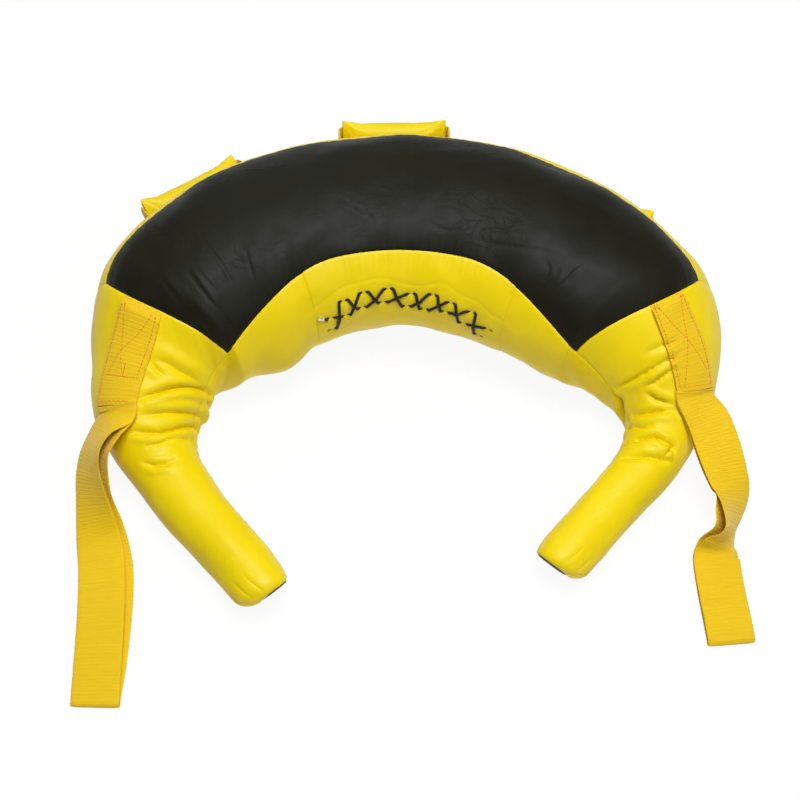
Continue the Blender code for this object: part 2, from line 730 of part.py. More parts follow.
def oval(x, half_thickness, half_high):
    """One ring of a handle's sleeve."""
    ring = []
    for j in range(HANDLE_RING_POINTS):
        turn = math.tau * j / HANDLE_RING_POINTS
        y = HANDLE_REACH + half_thickness * math.cos(turn)
        ring.append(Vector((x, y, half_high * math.sin(turn))))
    return ring


def flat_slot(x):
    """One ring of the webbing's slot through a handle's pad."""
    half_thick = HANDLE_WEBBING / 2.0 + HANDLE_CLEARANCE
    half_wide = HANDLE_WEBBING_WIDTH / 2.0 + HANDLE_CLEARANCE
    ring = []
    for j in range(HANDLE_RING_POINTS):
        turn = math.tau * j / HANDLE_RING_POINTS
        y = min(max(2.0 * math.cos(turn), -1.0), 1.0)
        z = min(max(math.sin(turn) / math.sin(math.tau / 6.0), -1.0), 1.0)
        ring.append(Vector((x, HANDLE_REACH + half_thick * y, half_wide * z)))
    return ring


def sleeve_solid(name, material, outer, inner, place):
    """A tube with a wall: outer and inner rings joined at both mouths."""
    bm = bmesh.new()
    loops = [[bm.verts.new(point) for point in ring] for ring in outer + inner[::-1]]
    loops.append(loops[0])
    count = len(loops[0])
    for near, far in zip(loops, loops[1:]):
        for j in range(count):
            k = (j + 1) % count
            bm.faces.new((near[j], near[k], far[k], far[j]))
    return finish(name, bm, material, place)


def handle_path():
    """Middle line of the bow as (x, y, half width, direction), from one root to the other."""
    half = HANDLE_WEBBING_WIDTH / 2.0
    straight = HANDLE_REACH - HANDLE_BEND_RADIUS
    leg = []
    for turn in (20.0, 50.0, 90.0):
        angle = math.radians(turn)
        spot = (-HANDLE_ROOT_RADIUS * math.cos(angle), HANDLE_ROOT_RADIUS * math.sin(angle))
        leg.append((-leg_space(), *spot, 90.0))
    leg.append((-leg_space(), HANDLE_NECK_REACH, HANDLE_NECK_WIDTH / 2.0, 90.0))
    leg.append((-leg_space(), HANDLE_FULL_WIDTH_REACH, half, 90.0))
    for turn in (0.0, 30.0, 60.0, 90.0):
        angle = math.radians(turn)
        x = -leg_space() + HANDLE_BEND_RADIUS * (1.0 - math.cos(angle))
        y = straight + HANDLE_BEND_RADIUS * math.sin(angle)
        leg.append((x, y, half, 90.0 - turn))
    other = [(-x, y, wide, -way) for x, y, wide, way in reversed(leg)]
    return leg + other


def build_bow(name, material, place):
    """The webbing bow, gathered to a rolled root at each end."""
    rings = []
    for x, y, wide, way in handle_path():
        angle = math.radians(way)
        across = Vector((-math.sin(angle), math.cos(angle), 0.0)) * HANDLE_WEBBING / 2.0
        middle = Vector((x, y, 0.0))
        rise = Vector((0.0, 0.0, wide))
        corners = (across + rise, across - rise, -across - rise, -across + rise)
        rings.append([middle + corner for corner in corners])
    item = ring_solid(name, material, rings)
    item.matrix_world = place


def build_handle(word, materials, crown_share, tilt_deg):
    """One grab handle, placed along the crown's half arc: patch, webbing bow, pad and sleeve."""
    station = crown_share * crown_arc()
    patch_length = 2.0 * (leg_space() + PATCH_OVERRUN)
    rate = slopes_at(station, 0.0)[0].length
    across = math.degrees(PATCH_WIDTH / 2.0 / half_height(half_width(station)))
    grid = []
    for share in steps(-0.5, 0.5, 9):
        spot = station + share * patch_length / rate
        grid.append([(spot, angle) for angle in steps(-across, across, 5)])
    patch_depth = -(PATCH_GAP + PATCH_WALL)
    prefix = "handle_" + word
    shell(prefix + "_patch", materials["leather_yellow"], grid, patch_depth, PATCH_WALL)
    place = handle_frame(station, tilt_deg)
    build_bow(prefix + "_webbing", materials["webbing_yellow"], place)
    cover_outer, cover_inner, pad_outer, pad_inner = [], [], [], []
    pad_wall = HANDLE_WALL + HANDLE_CLEARANCE
    half = HANDLE_LENGTH / 2.0
    pad_half = half - PAD_END_SPACE
    inside = [pad_half * math.sin(share * math.pi) for share in steps(-0.5, 0.5, HANDLE_RINGS)]
    for x in [-half, *inside, half]:
        thick, high = handle_section(x)
        cover_outer.append(oval(x, thick, high))
        cover_inner.append(oval(x, thick - HANDLE_WALL, high - HANDLE_WALL))
    for x in inside:
        thick, high = handle_section(x)
        pad_outer.append(oval(x, thick - pad_wall, high - pad_wall))
        pad_inner.append(flat_slot(x))
    sleeve_solid(prefix + "_cover", materials["leather_yellow"], cover_outer, cover_inner, place)
    sleeve_solid(prefix + "_pad", materials["pad_foam"], pad_outer, pad_inner, place)


def strap_angle(share, angles_deg):
    """Angle of a sewn strap's middle line, a parabola through its start, middle and end."""
    first, middle, last = angles_deg
    bend = 2.0 * (first + last - 2.0 * middle)
    return first + (4.0 * middle - 3.0 * first - last) * share + bend * share * share


def strap_spot(share, way, start, end, angles_deg, side):
    """Station and angle at a share of a sewn strap's length and of its half width."""
    ahead = share + PROBE / (end - start)
    station = side * (start + share * (end - start))
    middle = strap_angle(share, angles_deg)
    along, around = slopes_at(station, middle)
    turn = (strap_angle(ahead, angles_deg) - middle) * around
    run = (along * side * (end - start) * (ahead - share) + turn).normalized()
    normal = around.cross(along).normalized()
    cross = normal.cross(run) * way * STRAP_WIDTH / 2.0
    lean = cross.dot(along.normalized()) / along.length
    return station + lean, middle + cross.dot(around.normalized()) / around.length


def build_strap_base(word, material, start, end, angles_deg, side):
    """The sewn part of a strap, both of its ends stacked flat on the sleeve."""
    stack = 2.0 * STRAP_THICKNESS + STRAP_LAYER_GAP
    grid = []
    for share in steps(0.0, 1.0, STRAP_BASE_COLUMNS):
        column = []
        for way in steps(-1.0, 1.0, STRAP_BASE_ROWS):
            column.append(strap_spot(share, way, start, end, angles_deg, side))
        grid.append(column)
    shell("strap_" + word + "_base", material, grid, -(STRAP_GAP + stack), stack)


def tack_frame(start, end, angles_deg, side):
    """Point on the leather at the end of a sewn strap, and its run, width and normal there."""
    station, angle = strap_spot(1.0, 0.0, start, end, angles_deg, side)
    left = skin_point(*strap_spot(1.0, -side, start, end, angles_deg, side))
    right = skin_point(*strap_spot(1.0, side, start, end, angles_deg, side))
    width = (right - left) * (1.0 if right.x > left.x else -1.0)
    width.normalize()
    middle = skin_point(station, angle)
    along, around = slopes_at(station, angle)
    normal = around.cross(along).normalized()
    normal = (normal - width * normal.dot(width)).normalized()
    run = width.cross(normal)
    top = STRAP_GAP + 2.0 * STRAP_THICKNESS + STRAP_LAYER_GAP
    edge = [strap_spot(1.0, way, start, end, angles_deg, side) for way in steps(-1.0, 1.0, 9)]
    corners = [skin_point(*spot, -height) for spot in edge for height in (STRAP_GAP, top)]
    reach = max((corner - middle).dot(run) for corner in corners)
    return middle + run * reach, run, width, normal


def smooth_route(points, step):
    """Evenly stepped points of a smooth curve through rows of numbers, by their first three."""
    rows = [2.0 * points[0] - points[1], *points, 2.0 * points[-1] - points[-2]]
    fine = []
    for before, first, last, after in zip(rows, rows[1:], rows[2:], rows[3:]):
        for t in np.linspace(0.0, 1.0, 24, endpoint=False):
            bend = 2.0 * before - 5.0 * first + 4.0 * last - after
            twist = 3.0 * first - before - 3.0 * last + after
            fine.append(first + 0.5 * (t * (last - before) + t * t * bend + t**3 * twist))
    fine.append(points[-1])
    fine = np.array(fine)
    lengths = np.linalg.norm(np.diff(fine[:, :3], axis=0), axis=1)
    run = np.concatenate(([0.0], np.cumsum(lengths)))
    spots = np.linspace(0.0, run[-1], round(run[-1] / step) + 1)
    return np.stack([np.interp(spots, run, column) for column in fine.T], axis=1)


def loop_layers(frame, route):
    """Upper layer, fold and lower layer of a free loop as (middle, width) pairs."""
    middle, run, width, normal = frame
    layer = STRAP_THICKNESS + STRAP_LAYER_GAP
    rise = STRAP_GAP + STRAP_THICKNESS / 2.0 + layer
    start = middle + normal * rise + run * STRAP_TACK_GAP
    lead = start + run * STRAP_LEAD
    rows = [np.array([*start, *width, layer]), np.array([*lead, *width, layer])]
    for x, y, z, turn_deg, roll_deg, space in route:
        turn, roll = math.radians(turn_deg), math.radians(roll_deg)
        wide = (math.cos(turn) * math.cos(roll), math.sin(turn) * math.cos(roll), math.sin(roll))
        rows.append(np.array([middle.x + x, middle.y + y, z, *wide, space]))
    rows = smooth_route(rows, STRAP_STEP)
    upper, lower = [], []
    for i, row in enumerate(rows):
        spot = Vector(row[:3])
        ahead = Vector(rows[min(i + 1, len(rows) - 1)][:3])
        behind = Vector(rows[max(i - 1, 0)][:3])
        run = (ahead - behind).normalized()
        wide = Vector(row[3:6])
        wide = (wide - run * wide.dot(run)).normalized() if i else width
        under = spot - run.cross(wide) * float(row[6])
        half_drop = abs(wide.z) * STRAP_WIDTH / 2.0 + abs(run.cross(wide).z) * STRAP_THICKNESS / 2.0
        lift = Vector((0.0, 0.0, max(half_drop - under.z, 0.0)))
        upper.append((spot + lift, wide))
        lower.append((under + lift, wide))
    (top, wide), (bottom, _) = upper[-1], lower[-1]
    centre = (top + bottom) / 2.0
    out = (top - bottom).cross(wide)
    out *= -side_of(out.dot(run) * -1.0)
    fold = []
    for turn in (45.0, 90.0, 135.0):
        angle = math.radians(turn)
        spot = centre + (top - centre) * math.cos(angle) + out / 2.0 * math.sin(angle)
        fold.append((spot, wide))
    return upper + fold + lower[::-1]


def build_strap_loop(word, material, frame, route):
    """A strap's free loop as one band, with its origin on the hinge at the bar tack."""
    layers = loop_layers(frame, route)
    spots = [spot for spot, _ in layers]
    place = tack_hinge(frame)
    back = place.inverted()
    rings = []
    for i, (spot, wide) in enumerate(layers):
        ahead = spots[min(i + 1, len(spots) - 1)]
        behind = spots[max(i - 1, 0)]
        normal = (ahead - behind).normalized().cross(wide).normalized() * STRAP_THICKNESS / 2.0
        half = wide * STRAP_WIDTH / 2.0
        corners = (half + normal, half - normal, -half - normal, -half + normal)
        rings.append([back @ (spot + corner) for corner in corners])
    item = ring_solid("strap_" + word + "_loop", material, rings)
    item.matrix_world = place


def tack_hinge(frame):
    """Frame on the hinge of a loop: X against its width, Y along its run and Z off the leather."""
    middle, run, width, normal = frame
    rise = STRAP_GAP + 2.0 * STRAP_THICKNESS + STRAP_LAYER_GAP + STRAP_PIN_RISE
    axes = Matrix((-width, normal.cross(-width), normal)).transposed().to_4x4()
    return Matrix.Translation(middle + normal * rise) @ axes


def build_straps(materials):
    """Both webbing straps, each a sewn base and a free loop."""
    webbing = materials["webbing_yellow"]
    left = (LEFT_STRAP_START, LEFT_STRAP_END, LEFT_STRAP_ANGLES_DEG, -1.0)
    right = (RIGHT_STRAP_START, RIGHT_STRAP_END, RIGHT_STRAP_ANGLES_DEG, 1.0)
    for word, place, route in (("left", left, LEFT_LOOP_ROUTE), ("right", right, RIGHT_LOOP_ROUTE)):
        build_strap_base(word, webbing, *place)
        build_strap_loop(word, webbing, tack_frame(*place), route)


def main():
    """Builds the whole trainer."""
    clear_scene()
    materials = make_materials()
    build_cover(materials)
    build_closure(materials)
    build_filling(materials)
    build_handle("center", materials, CENTER_HANDLE_SHARE, CENTER_HANDLE_TILT_DEG)
    build_handle("left", materials, LEFT_HANDLE_SHARE, LEFT_HANDLE_TILT_DEG)
    build_handle("right", materials, RIGHT_HANDLE_SHARE, RIGHT_HANDLE_TILT_DEG)
    build_straps(materials)


main()
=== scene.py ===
"""Looks of the crescent sandbag trainer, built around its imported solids.

A place on the bag is a station, the metres along its centre line from the middle of the
crown, negative to the left, and an angle in the section there: 0 degrees points out of the
crescent, 90 up, 180 into the crescent and 270 down.
"""
import logging
import math
from dataclasses import dataclass, field, replace
from enum import Enum
from typing import Callable, Iterable, Sequence

import bmesh
import bpy
import numpy as np
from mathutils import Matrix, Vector

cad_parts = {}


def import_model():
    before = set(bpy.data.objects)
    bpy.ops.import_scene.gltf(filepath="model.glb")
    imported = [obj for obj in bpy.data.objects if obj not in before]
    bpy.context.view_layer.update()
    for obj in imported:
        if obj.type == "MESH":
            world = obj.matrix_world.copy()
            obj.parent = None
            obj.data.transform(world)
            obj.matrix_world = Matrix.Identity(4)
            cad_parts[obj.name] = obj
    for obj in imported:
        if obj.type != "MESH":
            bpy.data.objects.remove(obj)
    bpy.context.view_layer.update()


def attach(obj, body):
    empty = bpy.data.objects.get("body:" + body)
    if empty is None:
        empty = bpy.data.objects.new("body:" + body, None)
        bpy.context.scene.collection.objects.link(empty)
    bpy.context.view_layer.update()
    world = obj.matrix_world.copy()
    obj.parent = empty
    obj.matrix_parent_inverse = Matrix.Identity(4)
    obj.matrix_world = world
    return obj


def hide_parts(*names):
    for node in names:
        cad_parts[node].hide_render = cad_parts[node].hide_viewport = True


Array = np.ndarray
Pair = tuple[float, float]
Triple = tuple[float, float, float]
Seam = Callable[[Array], Array]
Ladder = tuple[Array, Array]
Grid = tuple[Array, Array, Array, Array]

LOG = logging.getLogger("sandbag_trainer")


class Side(Enum):
    """Which arm of the crescent."""

    LEFT = -1.0
    RIGHT = 1.0

    @property
    def word(self) -> str:
        """The side's word in a piece's name."""
        return self.name.lower()


class Edge(Enum):
    """What the border of a leather panel does."""

    TURNED = "turned"
    OPEN = "open"


Edges = tuple[Edge, Edge, Edge, Edge]


# Shader expressions


class Wire:
    """A shader socket that adds Math nodes when it is used in an expression."""

    def __init__(self, tree: "Recipe", socket: bpy.types.NodeSocket) -> None:
        """Wraps a socket of a recipe's node tree."""
        self.tree = tree
        self.socket = socket

    def _math(self, operation: str, *values: "Wire | float") -> "Wire":
        """Adds one Math node."""
        node = self.tree.node("ShaderNodeMath", {"operation": operation}, dict(enumerate(values)))
        return self.tree.out(node)

    def __add__(self, other: "Wire | float") -> "Wire":
        """Sum."""
        return self._math("ADD", self, other)

    __radd__ = __add__

    def __sub__(self, other: "Wire | float") -> "Wire":
        """Difference."""
        return self._math("SUBTRACT", self, other)

    def __rsub__(self, other: float) -> "Wire":
        """Difference from a number."""
        return self._math("SUBTRACT", other, self)

    def __mul__(self, other: "Wire | float") -> "Wire":
        """Product."""
        return self._math("MULTIPLY", self, other)

    __rmul__ = __mul__

    def sine(self) -> "Wire":
        """Sine of an angle in radians."""
        return self._math("SINE", self)

    def size(self) -> "Wire":
        """Absolute value."""
        return self._math("ABSOLUTE", self)

    def least(self, other: "Wire | float") -> "Wire":
        """The smaller of two."""
        return self._math("MINIMUM", self, other)

    def most(self, other: "Wire | float") -> "Wire":
        """The larger of two."""
        return self._math("MAXIMUM", self, other)


class Recipe:
    """A material's node tree, written as expressions."""

    def __init__(self, name: str) -> None:
        """Starts a material that holds only a Principled shader."""
        self.material = bpy.data.materials.new(name)
        self.material.use_nodes = True
        self.tree = self.material.node_tree
        self.shader = self.tree.nodes["Principled BSDF"]

    def node(
        self, kind: str, settings: dict[str, object], values: dict[object, object]
    ) -> bpy.types.Node:
        """Adds a node.

        Args:
            kind: The node's type.
            settings: Properties that are set first.
            values: Socket names or numbers, and a value or a link for each.

        Returns:
            The new node.
        """
        made = self.tree.nodes.new(kind)
        for key, value in settings.items():
            if key == "stops":
                self._stops(made, value)
            else:
                setattr(made, key, value)
        for key, value in values.items():
            self.put(made.inputs[key], value)
        return made

    @staticmethod
    def _stops(ramp: bpy.types.Node, stops: Sequence[tuple[float, float]]) -> None:
        """Gives a colour ramp grey stops at places."""
        elements = ramp.color_ramp.elements
        while len(elements) > len(stops):
            elements.remove(elements[-1])
        while len(elements) < len(stops):
            elements.new(1.0)
        for element, (place, grey) in zip(elements, stops):
            element.position = place
            element.color = (grey, grey, grey, 1.0)

    def put(self, socket: bpy.types.NodeSocket, value: object) -> None:
        """Sets a socket to a number or links it to a wire."""
        if isinstance(value, Wire):
            self.tree.links.new(value.socket, socket)
        else:
            socket.default_value = value

    def out(self, node: bpy.types.Node, socket: object = 0) -> Wire:
        """One of a node's outputs as a wire."""
        return Wire(self, node.outputs[socket])

    def coordinates(self, kind: str = "Object") -> Wire:
        """Object coordinates, or the piece's own UV map."""
        return self.out(self.node("ShaderNodeTexCoord", {}, {}), kind)

    def stretched(self, base: Wire, scale: Triple) -> Wire:
        """Coordinates scaled along each axis."""
        return self.out(self.node("ShaderNodeMapping", {}, {"Vector": base, "Scale": scale}))

    def axes(self, base: Wire) -> tuple[Wire, Wire, Wire]:
        """The three numbers of a vector."""
        split = self.node("ShaderNodeSeparateXYZ", {}, {"Vector": base})
        return self.out(split, 0), self.out(split, 1), self.out(split, 2)

    def noise(self, base: Wire, scale: float, detail: float = 3.0, rough: float = 0.5) -> Wire:
        """Soft noise from 0 to 1."""
        values = {"Vector": base, "Scale": scale, "Detail": detail, "Roughness": rough}
        return self.out(self.node("ShaderNodeTexNoise", {}, values))

    def ridges(self, base: Wire, scale: float, detail: float, warp: float = 0.0) -> Wire:
        """Thin bright lines, as of fine wrinkles."""
        values = {"Vector": base, "Scale": scale, "Detail": detail, "Distortion": warp}
        cloud = self.out(self.node("ShaderNodeTexNoise", {}, values))
        return 1.0 - (cloud - 0.5).size() * 2.0

    def pebbles(self, base: Wire, scale: float) -> Wire:
        """Leather grain: the distance to the edge of small cells."""
        values = {"Vector": base, "Scale": scale}
        settings = {"feature": "DISTANCE_TO_EDGE"}
        return self.out(self.node("ShaderNodeTexVoronoi", settings, values))

    def ramp(self, value: Wire, *stops: tuple[float, float]) -> Wire:
        """A value through a ramp of grey stops."""
        return self.out(self.node("ShaderNodeValToRGB", {"stops": stops}, {0: value}))

    def mixed(self, share: Wire, first: object, second: object) -> Wire:
        """A colour between two others."""
        values = {0: share, 6: first, 7: second}
        return self.out(self.node("ShaderNodeMix", {"data_type": "RGBA"}, values), 2)

    def bump(
        self, height: Wire, strength: float, distance: float, under: Wire | None = None
    ) -> Wire:
        """A normal from a height."""
        values = {"Height": height, "Strength": strength, "Distance": distance}
        if under is not None:
            values["Normal"] = under
        return self.out(self.node("ShaderNodeBump", {}, values))

    def dress(self, **sockets: object) -> bpy.types.Material:
        """Sets the shader's sockets, named with underscores for spaces, and returns the material."""
        for name, value in sockets.items():
            self.put(self.shader.inputs[name.replace("_", " ")], value)
        return self.material


# Finishes


def shade(colour: Triple, share: float) -> tuple[float, float, float, float]:
    """A colour made darker or lighter by a share."""
    return (colour[0] * share, colour[1] * share, colour[2] * share, 1.0)


@dataclass(frozen=True)
class Finish:
    """A material's name and colour."""

    name: str
    colour: Triple

    def tinted(self, recipe: Recipe, share: Wire, dark: float, light: float) -> Wire:
        """The colour between a darker and a lighter share of it."""
        return recipe.mixed(share, shade(self.colour, dark), shade(self.colour, light))


@dataclass(frozen=True)
class Leather(Finish):
    """Smooth synthetic leather with fine grain and creases."""

    roughness: float
    grain: float
    creases: float
    mottle: float
    shine: float

    def material(self) -> bpy.types.Material:
        """Builds the material."""
        recipe = Recipe(self.name)
        place = recipe.coordinates()
        cloud = recipe.noise(place, 9.0, 4.0)
        fine = recipe.noise(place, 70.0, 3.0)
        worn = recipe.ridges(recipe.stretched(place, (1.0, 1.6, 1.0)), 34.0, 5.0, 1.4)
        line = recipe.ramp(worn, (0.90, 0.0), (0.995, 1.0))
        patch = recipe.ramp(recipe.noise(place, 11.0, 2.0), (0.46, 0.0), (0.62, 1.0))
        crease = line * patch
        pebble = recipe.pebbles(place, 900.0)
        tint = recipe.ramp(cloud * 0.7 + fine * 0.3, (0.3, 0.0), (0.7, 1.0))
        colour = self.tinted(recipe, tint, 1.0 - self.mottle, 1.0 + self.mottle)
        under = recipe.bump(recipe.noise(place, 26.0, 3.0), 0.25, 0.0012)
        creased = recipe.bump(crease, self.creases, 0.0006, under)
        normal = recipe.bump(pebble.least(0.35), self.grain, 0.0003, creased)
        rough = self.roughness + (fine - 0.5) * 0.14 + crease * 0.08
        recipe.dress(Specular_IOR_Level=self.shine)
        return recipe.dress(Base_Color=colour, Roughness=rough, Normal=normal)


@dataclass(frozen=True)
class Webbing(Finish):
    """Ribbed woven strap with shade painted into its grooves, whose pattern follows the piece's own UV
    map in metres.
    """

    pitch: float
    yarn: float

    def material(self) -> bpy.types.Material:
        """Builds the material."""
        recipe = Recipe(self.name)
        across, along, _ = recipe.axes(recipe.coordinates("UV"))
        place = recipe.coordinates()
        rib = (along * (math.tau / self.pitch)).sine()
        strand = (across * (math.tau / self.yarn)).sine()
        weave = strand * (along * (math.tau / (self.yarn * 1.15)) + strand * 0.8).sine()
        fuzz = recipe.noise(place, 900.0, 2.0)
        soil = recipe.noise(place, 16.0, 3.0)
        height = rib * 0.16 + weave * 0.32 + fuzz * 0.4
        # Painted shade: the colour is darker in the low parts of the ribs and weave and lighter on their
        # high parts; the soil noise adds a random tone.
        weave_shade_and_soil = recipe.ramp(height * 0.5 + 0.42, (0.1, 0.0), (0.8, 1.0)) * 0.75 + soil * 0.3
        colour = self.tinted(recipe, weave_shade_and_soil, 0.80, 1.10)
        normal = recipe.bump(height, 0.75, 0.0005)
        recipe.dress(Sheen_Weight=0.25, Sheen_Roughness=0.4, Specular_IOR_Level=0.3)
        return recipe.dress(Base_Color=colour, Roughness=0.62 + fuzz * 0.2, Normal=normal)


@dataclass(frozen=True)
class Braid(Finish):
    """Woven round lace with painted shade between its strands and painted highlight on them, whose
    pattern follows its UV map.
    """

    turns: float
    pitch: float

    def material(self) -> bpy.types.Material:
        """Builds the material."""
        recipe = Recipe(self.name)
        across, along, _ = recipe.axes(recipe.coordinates("UV"))
        spin, run = across * (math.tau * self.turns), along * self.pitch
        weave = (spin + run).sine().most((spin - run).sine())
        # Painted shade and highlight: the colour darkens where the strands dip and lightens on their
        # crests.
        colour = self.tinted(recipe, recipe.ramp(weave, (0.0, 0.0), (1.0, 1.0)), 0.6, 1.7)
        normal = recipe.bump(weave, 0.6, 0.0004)
        return recipe.dress(Base_Color=colour, Roughness=0.6 + weave * 0.1, Normal=normal)


@dataclass(frozen=True)
class Thread(Finish):
    """Sewing thread."""

    def material(self) -> bpy.types.Material:
        """Builds the material."""
        recipe = Recipe(self.name)
        twist = recipe.noise(recipe.coordinates(), 1400.0, 1.0)
        colour = self.tinted(recipe, twist, 0.8, 1.15)
        normal = recipe.bump(twist, 0.5, 0.0002)
        return recipe.dress(Base_Color=colour, Roughness=0.5 + twist * 0.1, Normal=normal)


@dataclass(frozen=True)
class Crimp(Finish):
    """Thin bright metal with small scratches."""

    def material(self) -> bpy.types.Material:
        """Builds the material."""
        recipe = Recipe(self.name)
        scratch = recipe.ridges(recipe.stretched(recipe.coordinates(), (1.0, 3.0, 1.0)), 700.0, 2.0)
        recipe.dress(Metallic=0.85, Base_Color=shade(self.colour, 1.0))
        normal = recipe.bump(scratch, 0.2, 0.0001)
        return recipe.dress(Roughness=0.25 + scratch * 0.15, Normal=normal)


@dataclass(frozen=True)
class Foam(Finish):
    """Open foam with fine pores."""

    def material(self) -> bpy.types.Material:
        """Builds the material."""
        recipe = Recipe(self.name)
        pores = recipe.noise(recipe.coordinates(), 1400.0, 3.0)
        colour = self.tinted(recipe, pores, 0.7, 1.15)
        return recipe.dress(Base_Color=colour, Roughness=0.9, Normal=recipe.bump(pores, 0.6, 0.0004))


YELLOW = (0.79, 0.605, 0.0015)
BLACK = (0.0095, 0.0095, 0.0048)
LEATHER_YELLOW = Leather("leather_yellow_look", YELLOW, 0.42, 0.16, 0.20, 0.060, 0.22)
LEATHER_BLACK = Leather("leather_black_look", BLACK, 0.50, 0.20, 0.24, 0.16, 0.13)
WEBBING_YELLOW = Webbing("webbing_yellow_look", (0.80, 0.52, 0.0015), 0.0031, 0.0016)
LACE_BLACK = Braid("lace_black_look", (0.006, 0.006, 0.005), 6.0, 2600.0)
THREAD_ORANGE = Thread("thread_orange_look", (0.72, 0.13, 0.008))
THREAD_YELLOW = Thread("thread_yellow_look", (0.55, 0.42, 0.02))
CRIMP_METAL = Crimp("crimp_metal_look", (0.80, 0.80, 0.78))
FOAM_GREY = Foam("foam_grey_look", (0.10, 0.10, 0.10))


# Curves

MM = 0.001


def smooth(share: Array) -> Array:
    """Shares held between 0 and 1 and smoothed at both ends."""
    share = np.clip(share, 0.0, 1.0)
    return share * share * (3.0 - 2.0 * share)


def monotone(value: Array, knots: Array, heights: Array) -> Array:
    """A smooth curve through heights at knots that never overshoots them."""
    gaps = np.diff(knots)
    slopes = np.diff(heights) / gaps
    tangents = np.zeros(len(knots))
    for i in range(1, len(knots) - 1):
        if slopes[i - 1] * slopes[i] > 0:
            first, second = 2.0 * gaps[i] + gaps[i - 1], gaps[i] + 2.0 * gaps[i - 1]
            tangents[i] = (first + second) / (first / slopes[i - 1] + second / slopes[i])
    tangents[-1] = slopes[-1]
    i = np.clip(np.searchsorted(knots, value) - 1, 0, len(gaps) - 1)
    t = (value - knots[i]) / gaps[i]
    rise = t * t * (3.0 - 2.0 * t)
    bend = tangents[i] * t * (1.0 - t) ** 2 - tangents[i + 1] * t * t * (1.0 - t)
    return heights[i] + rise * (heights[i + 1] - heights[i]) + bend * gaps[i]


def unit(vectors: Array) -> Array:
    """Vectors made one long."""
    return vectors / np.maximum(np.linalg.norm(vectors, axis=-1, keepdims=True), 1e-12)


def run_along(line: Array) -> Array:
    """Distance along a line at each of its points, by its first three columns."""
    lengths = np.linalg.norm(np.diff(line[:, :3], axis=0), axis=1)
    return np.concatenate(([0.0], np.cumsum(lengths)))


def nearest_on(points: Array, line: Array) -> tuple[Array, Array, Array, Array]:
    """Closest place on a line of points.

    Args:
        points: Places, one in a row.
        line: The line's points, one in a row.

    Returns:
        For each place its distance, its offset from the line, the number of the closest
        stretch, and how far along the whole line it is, from 0 to 1.
    """
    starts, ways = line[:-1], np.diff(line, axis=0)
    lengths = np.maximum((ways**2).sum(axis=1), 1e-12)
    share = ((points[:, None] - starts) * ways).sum(axis=2) / lengths
    share = np.clip(share, 0.0, 1.0)
    gap = points[:, None] - (starts + share[..., None] * ways)
    square = (gap**2).sum(axis=2)
    best = square.argmin(axis=1)
    rows = np.arange(len(points))
    place = (best + share[rows, best]) / len(ways)
    return np.sqrt(square[rows, best]), gap[rows, best], best, place


def resampled(line: Array, step: float) -> Array:
    """Evenly stepped rows along a line, by the length of its first three columns."""
    run = run_along(line)
    spots = np.linspace(0.0, run[-1], max(int(round(run[-1] / step)), 1) + 1)
    return np.stack([np.interp(spots, run, column) for column in line.T], axis=1)


def curved(rows: Array, fine: int = 16) -> Array:
    """Rows on a smooth curve that passes through the given rows."""
    rows = np.concatenate([[2.0 * rows[0] - rows[1]], rows, [2.0 * rows[-1] - rows[-2]]])
    out = []
    for before, first, last, after in zip(rows, rows[1:], rows[2:], rows[3:]):
        for t in np.linspace(0.0, 1.0, fine, endpoint=False):
            bend = 2.0 * before - 5.0 * first + 4.0 * last - after
            twist = 3.0 * first - before - 3.0 * last + after
            out.append(first + 0.5 * (t * (last - before) + t * t * bend + t**3 * twist))
    out.append(rows[-2])
    return np.array(out)


# Shape of the bag


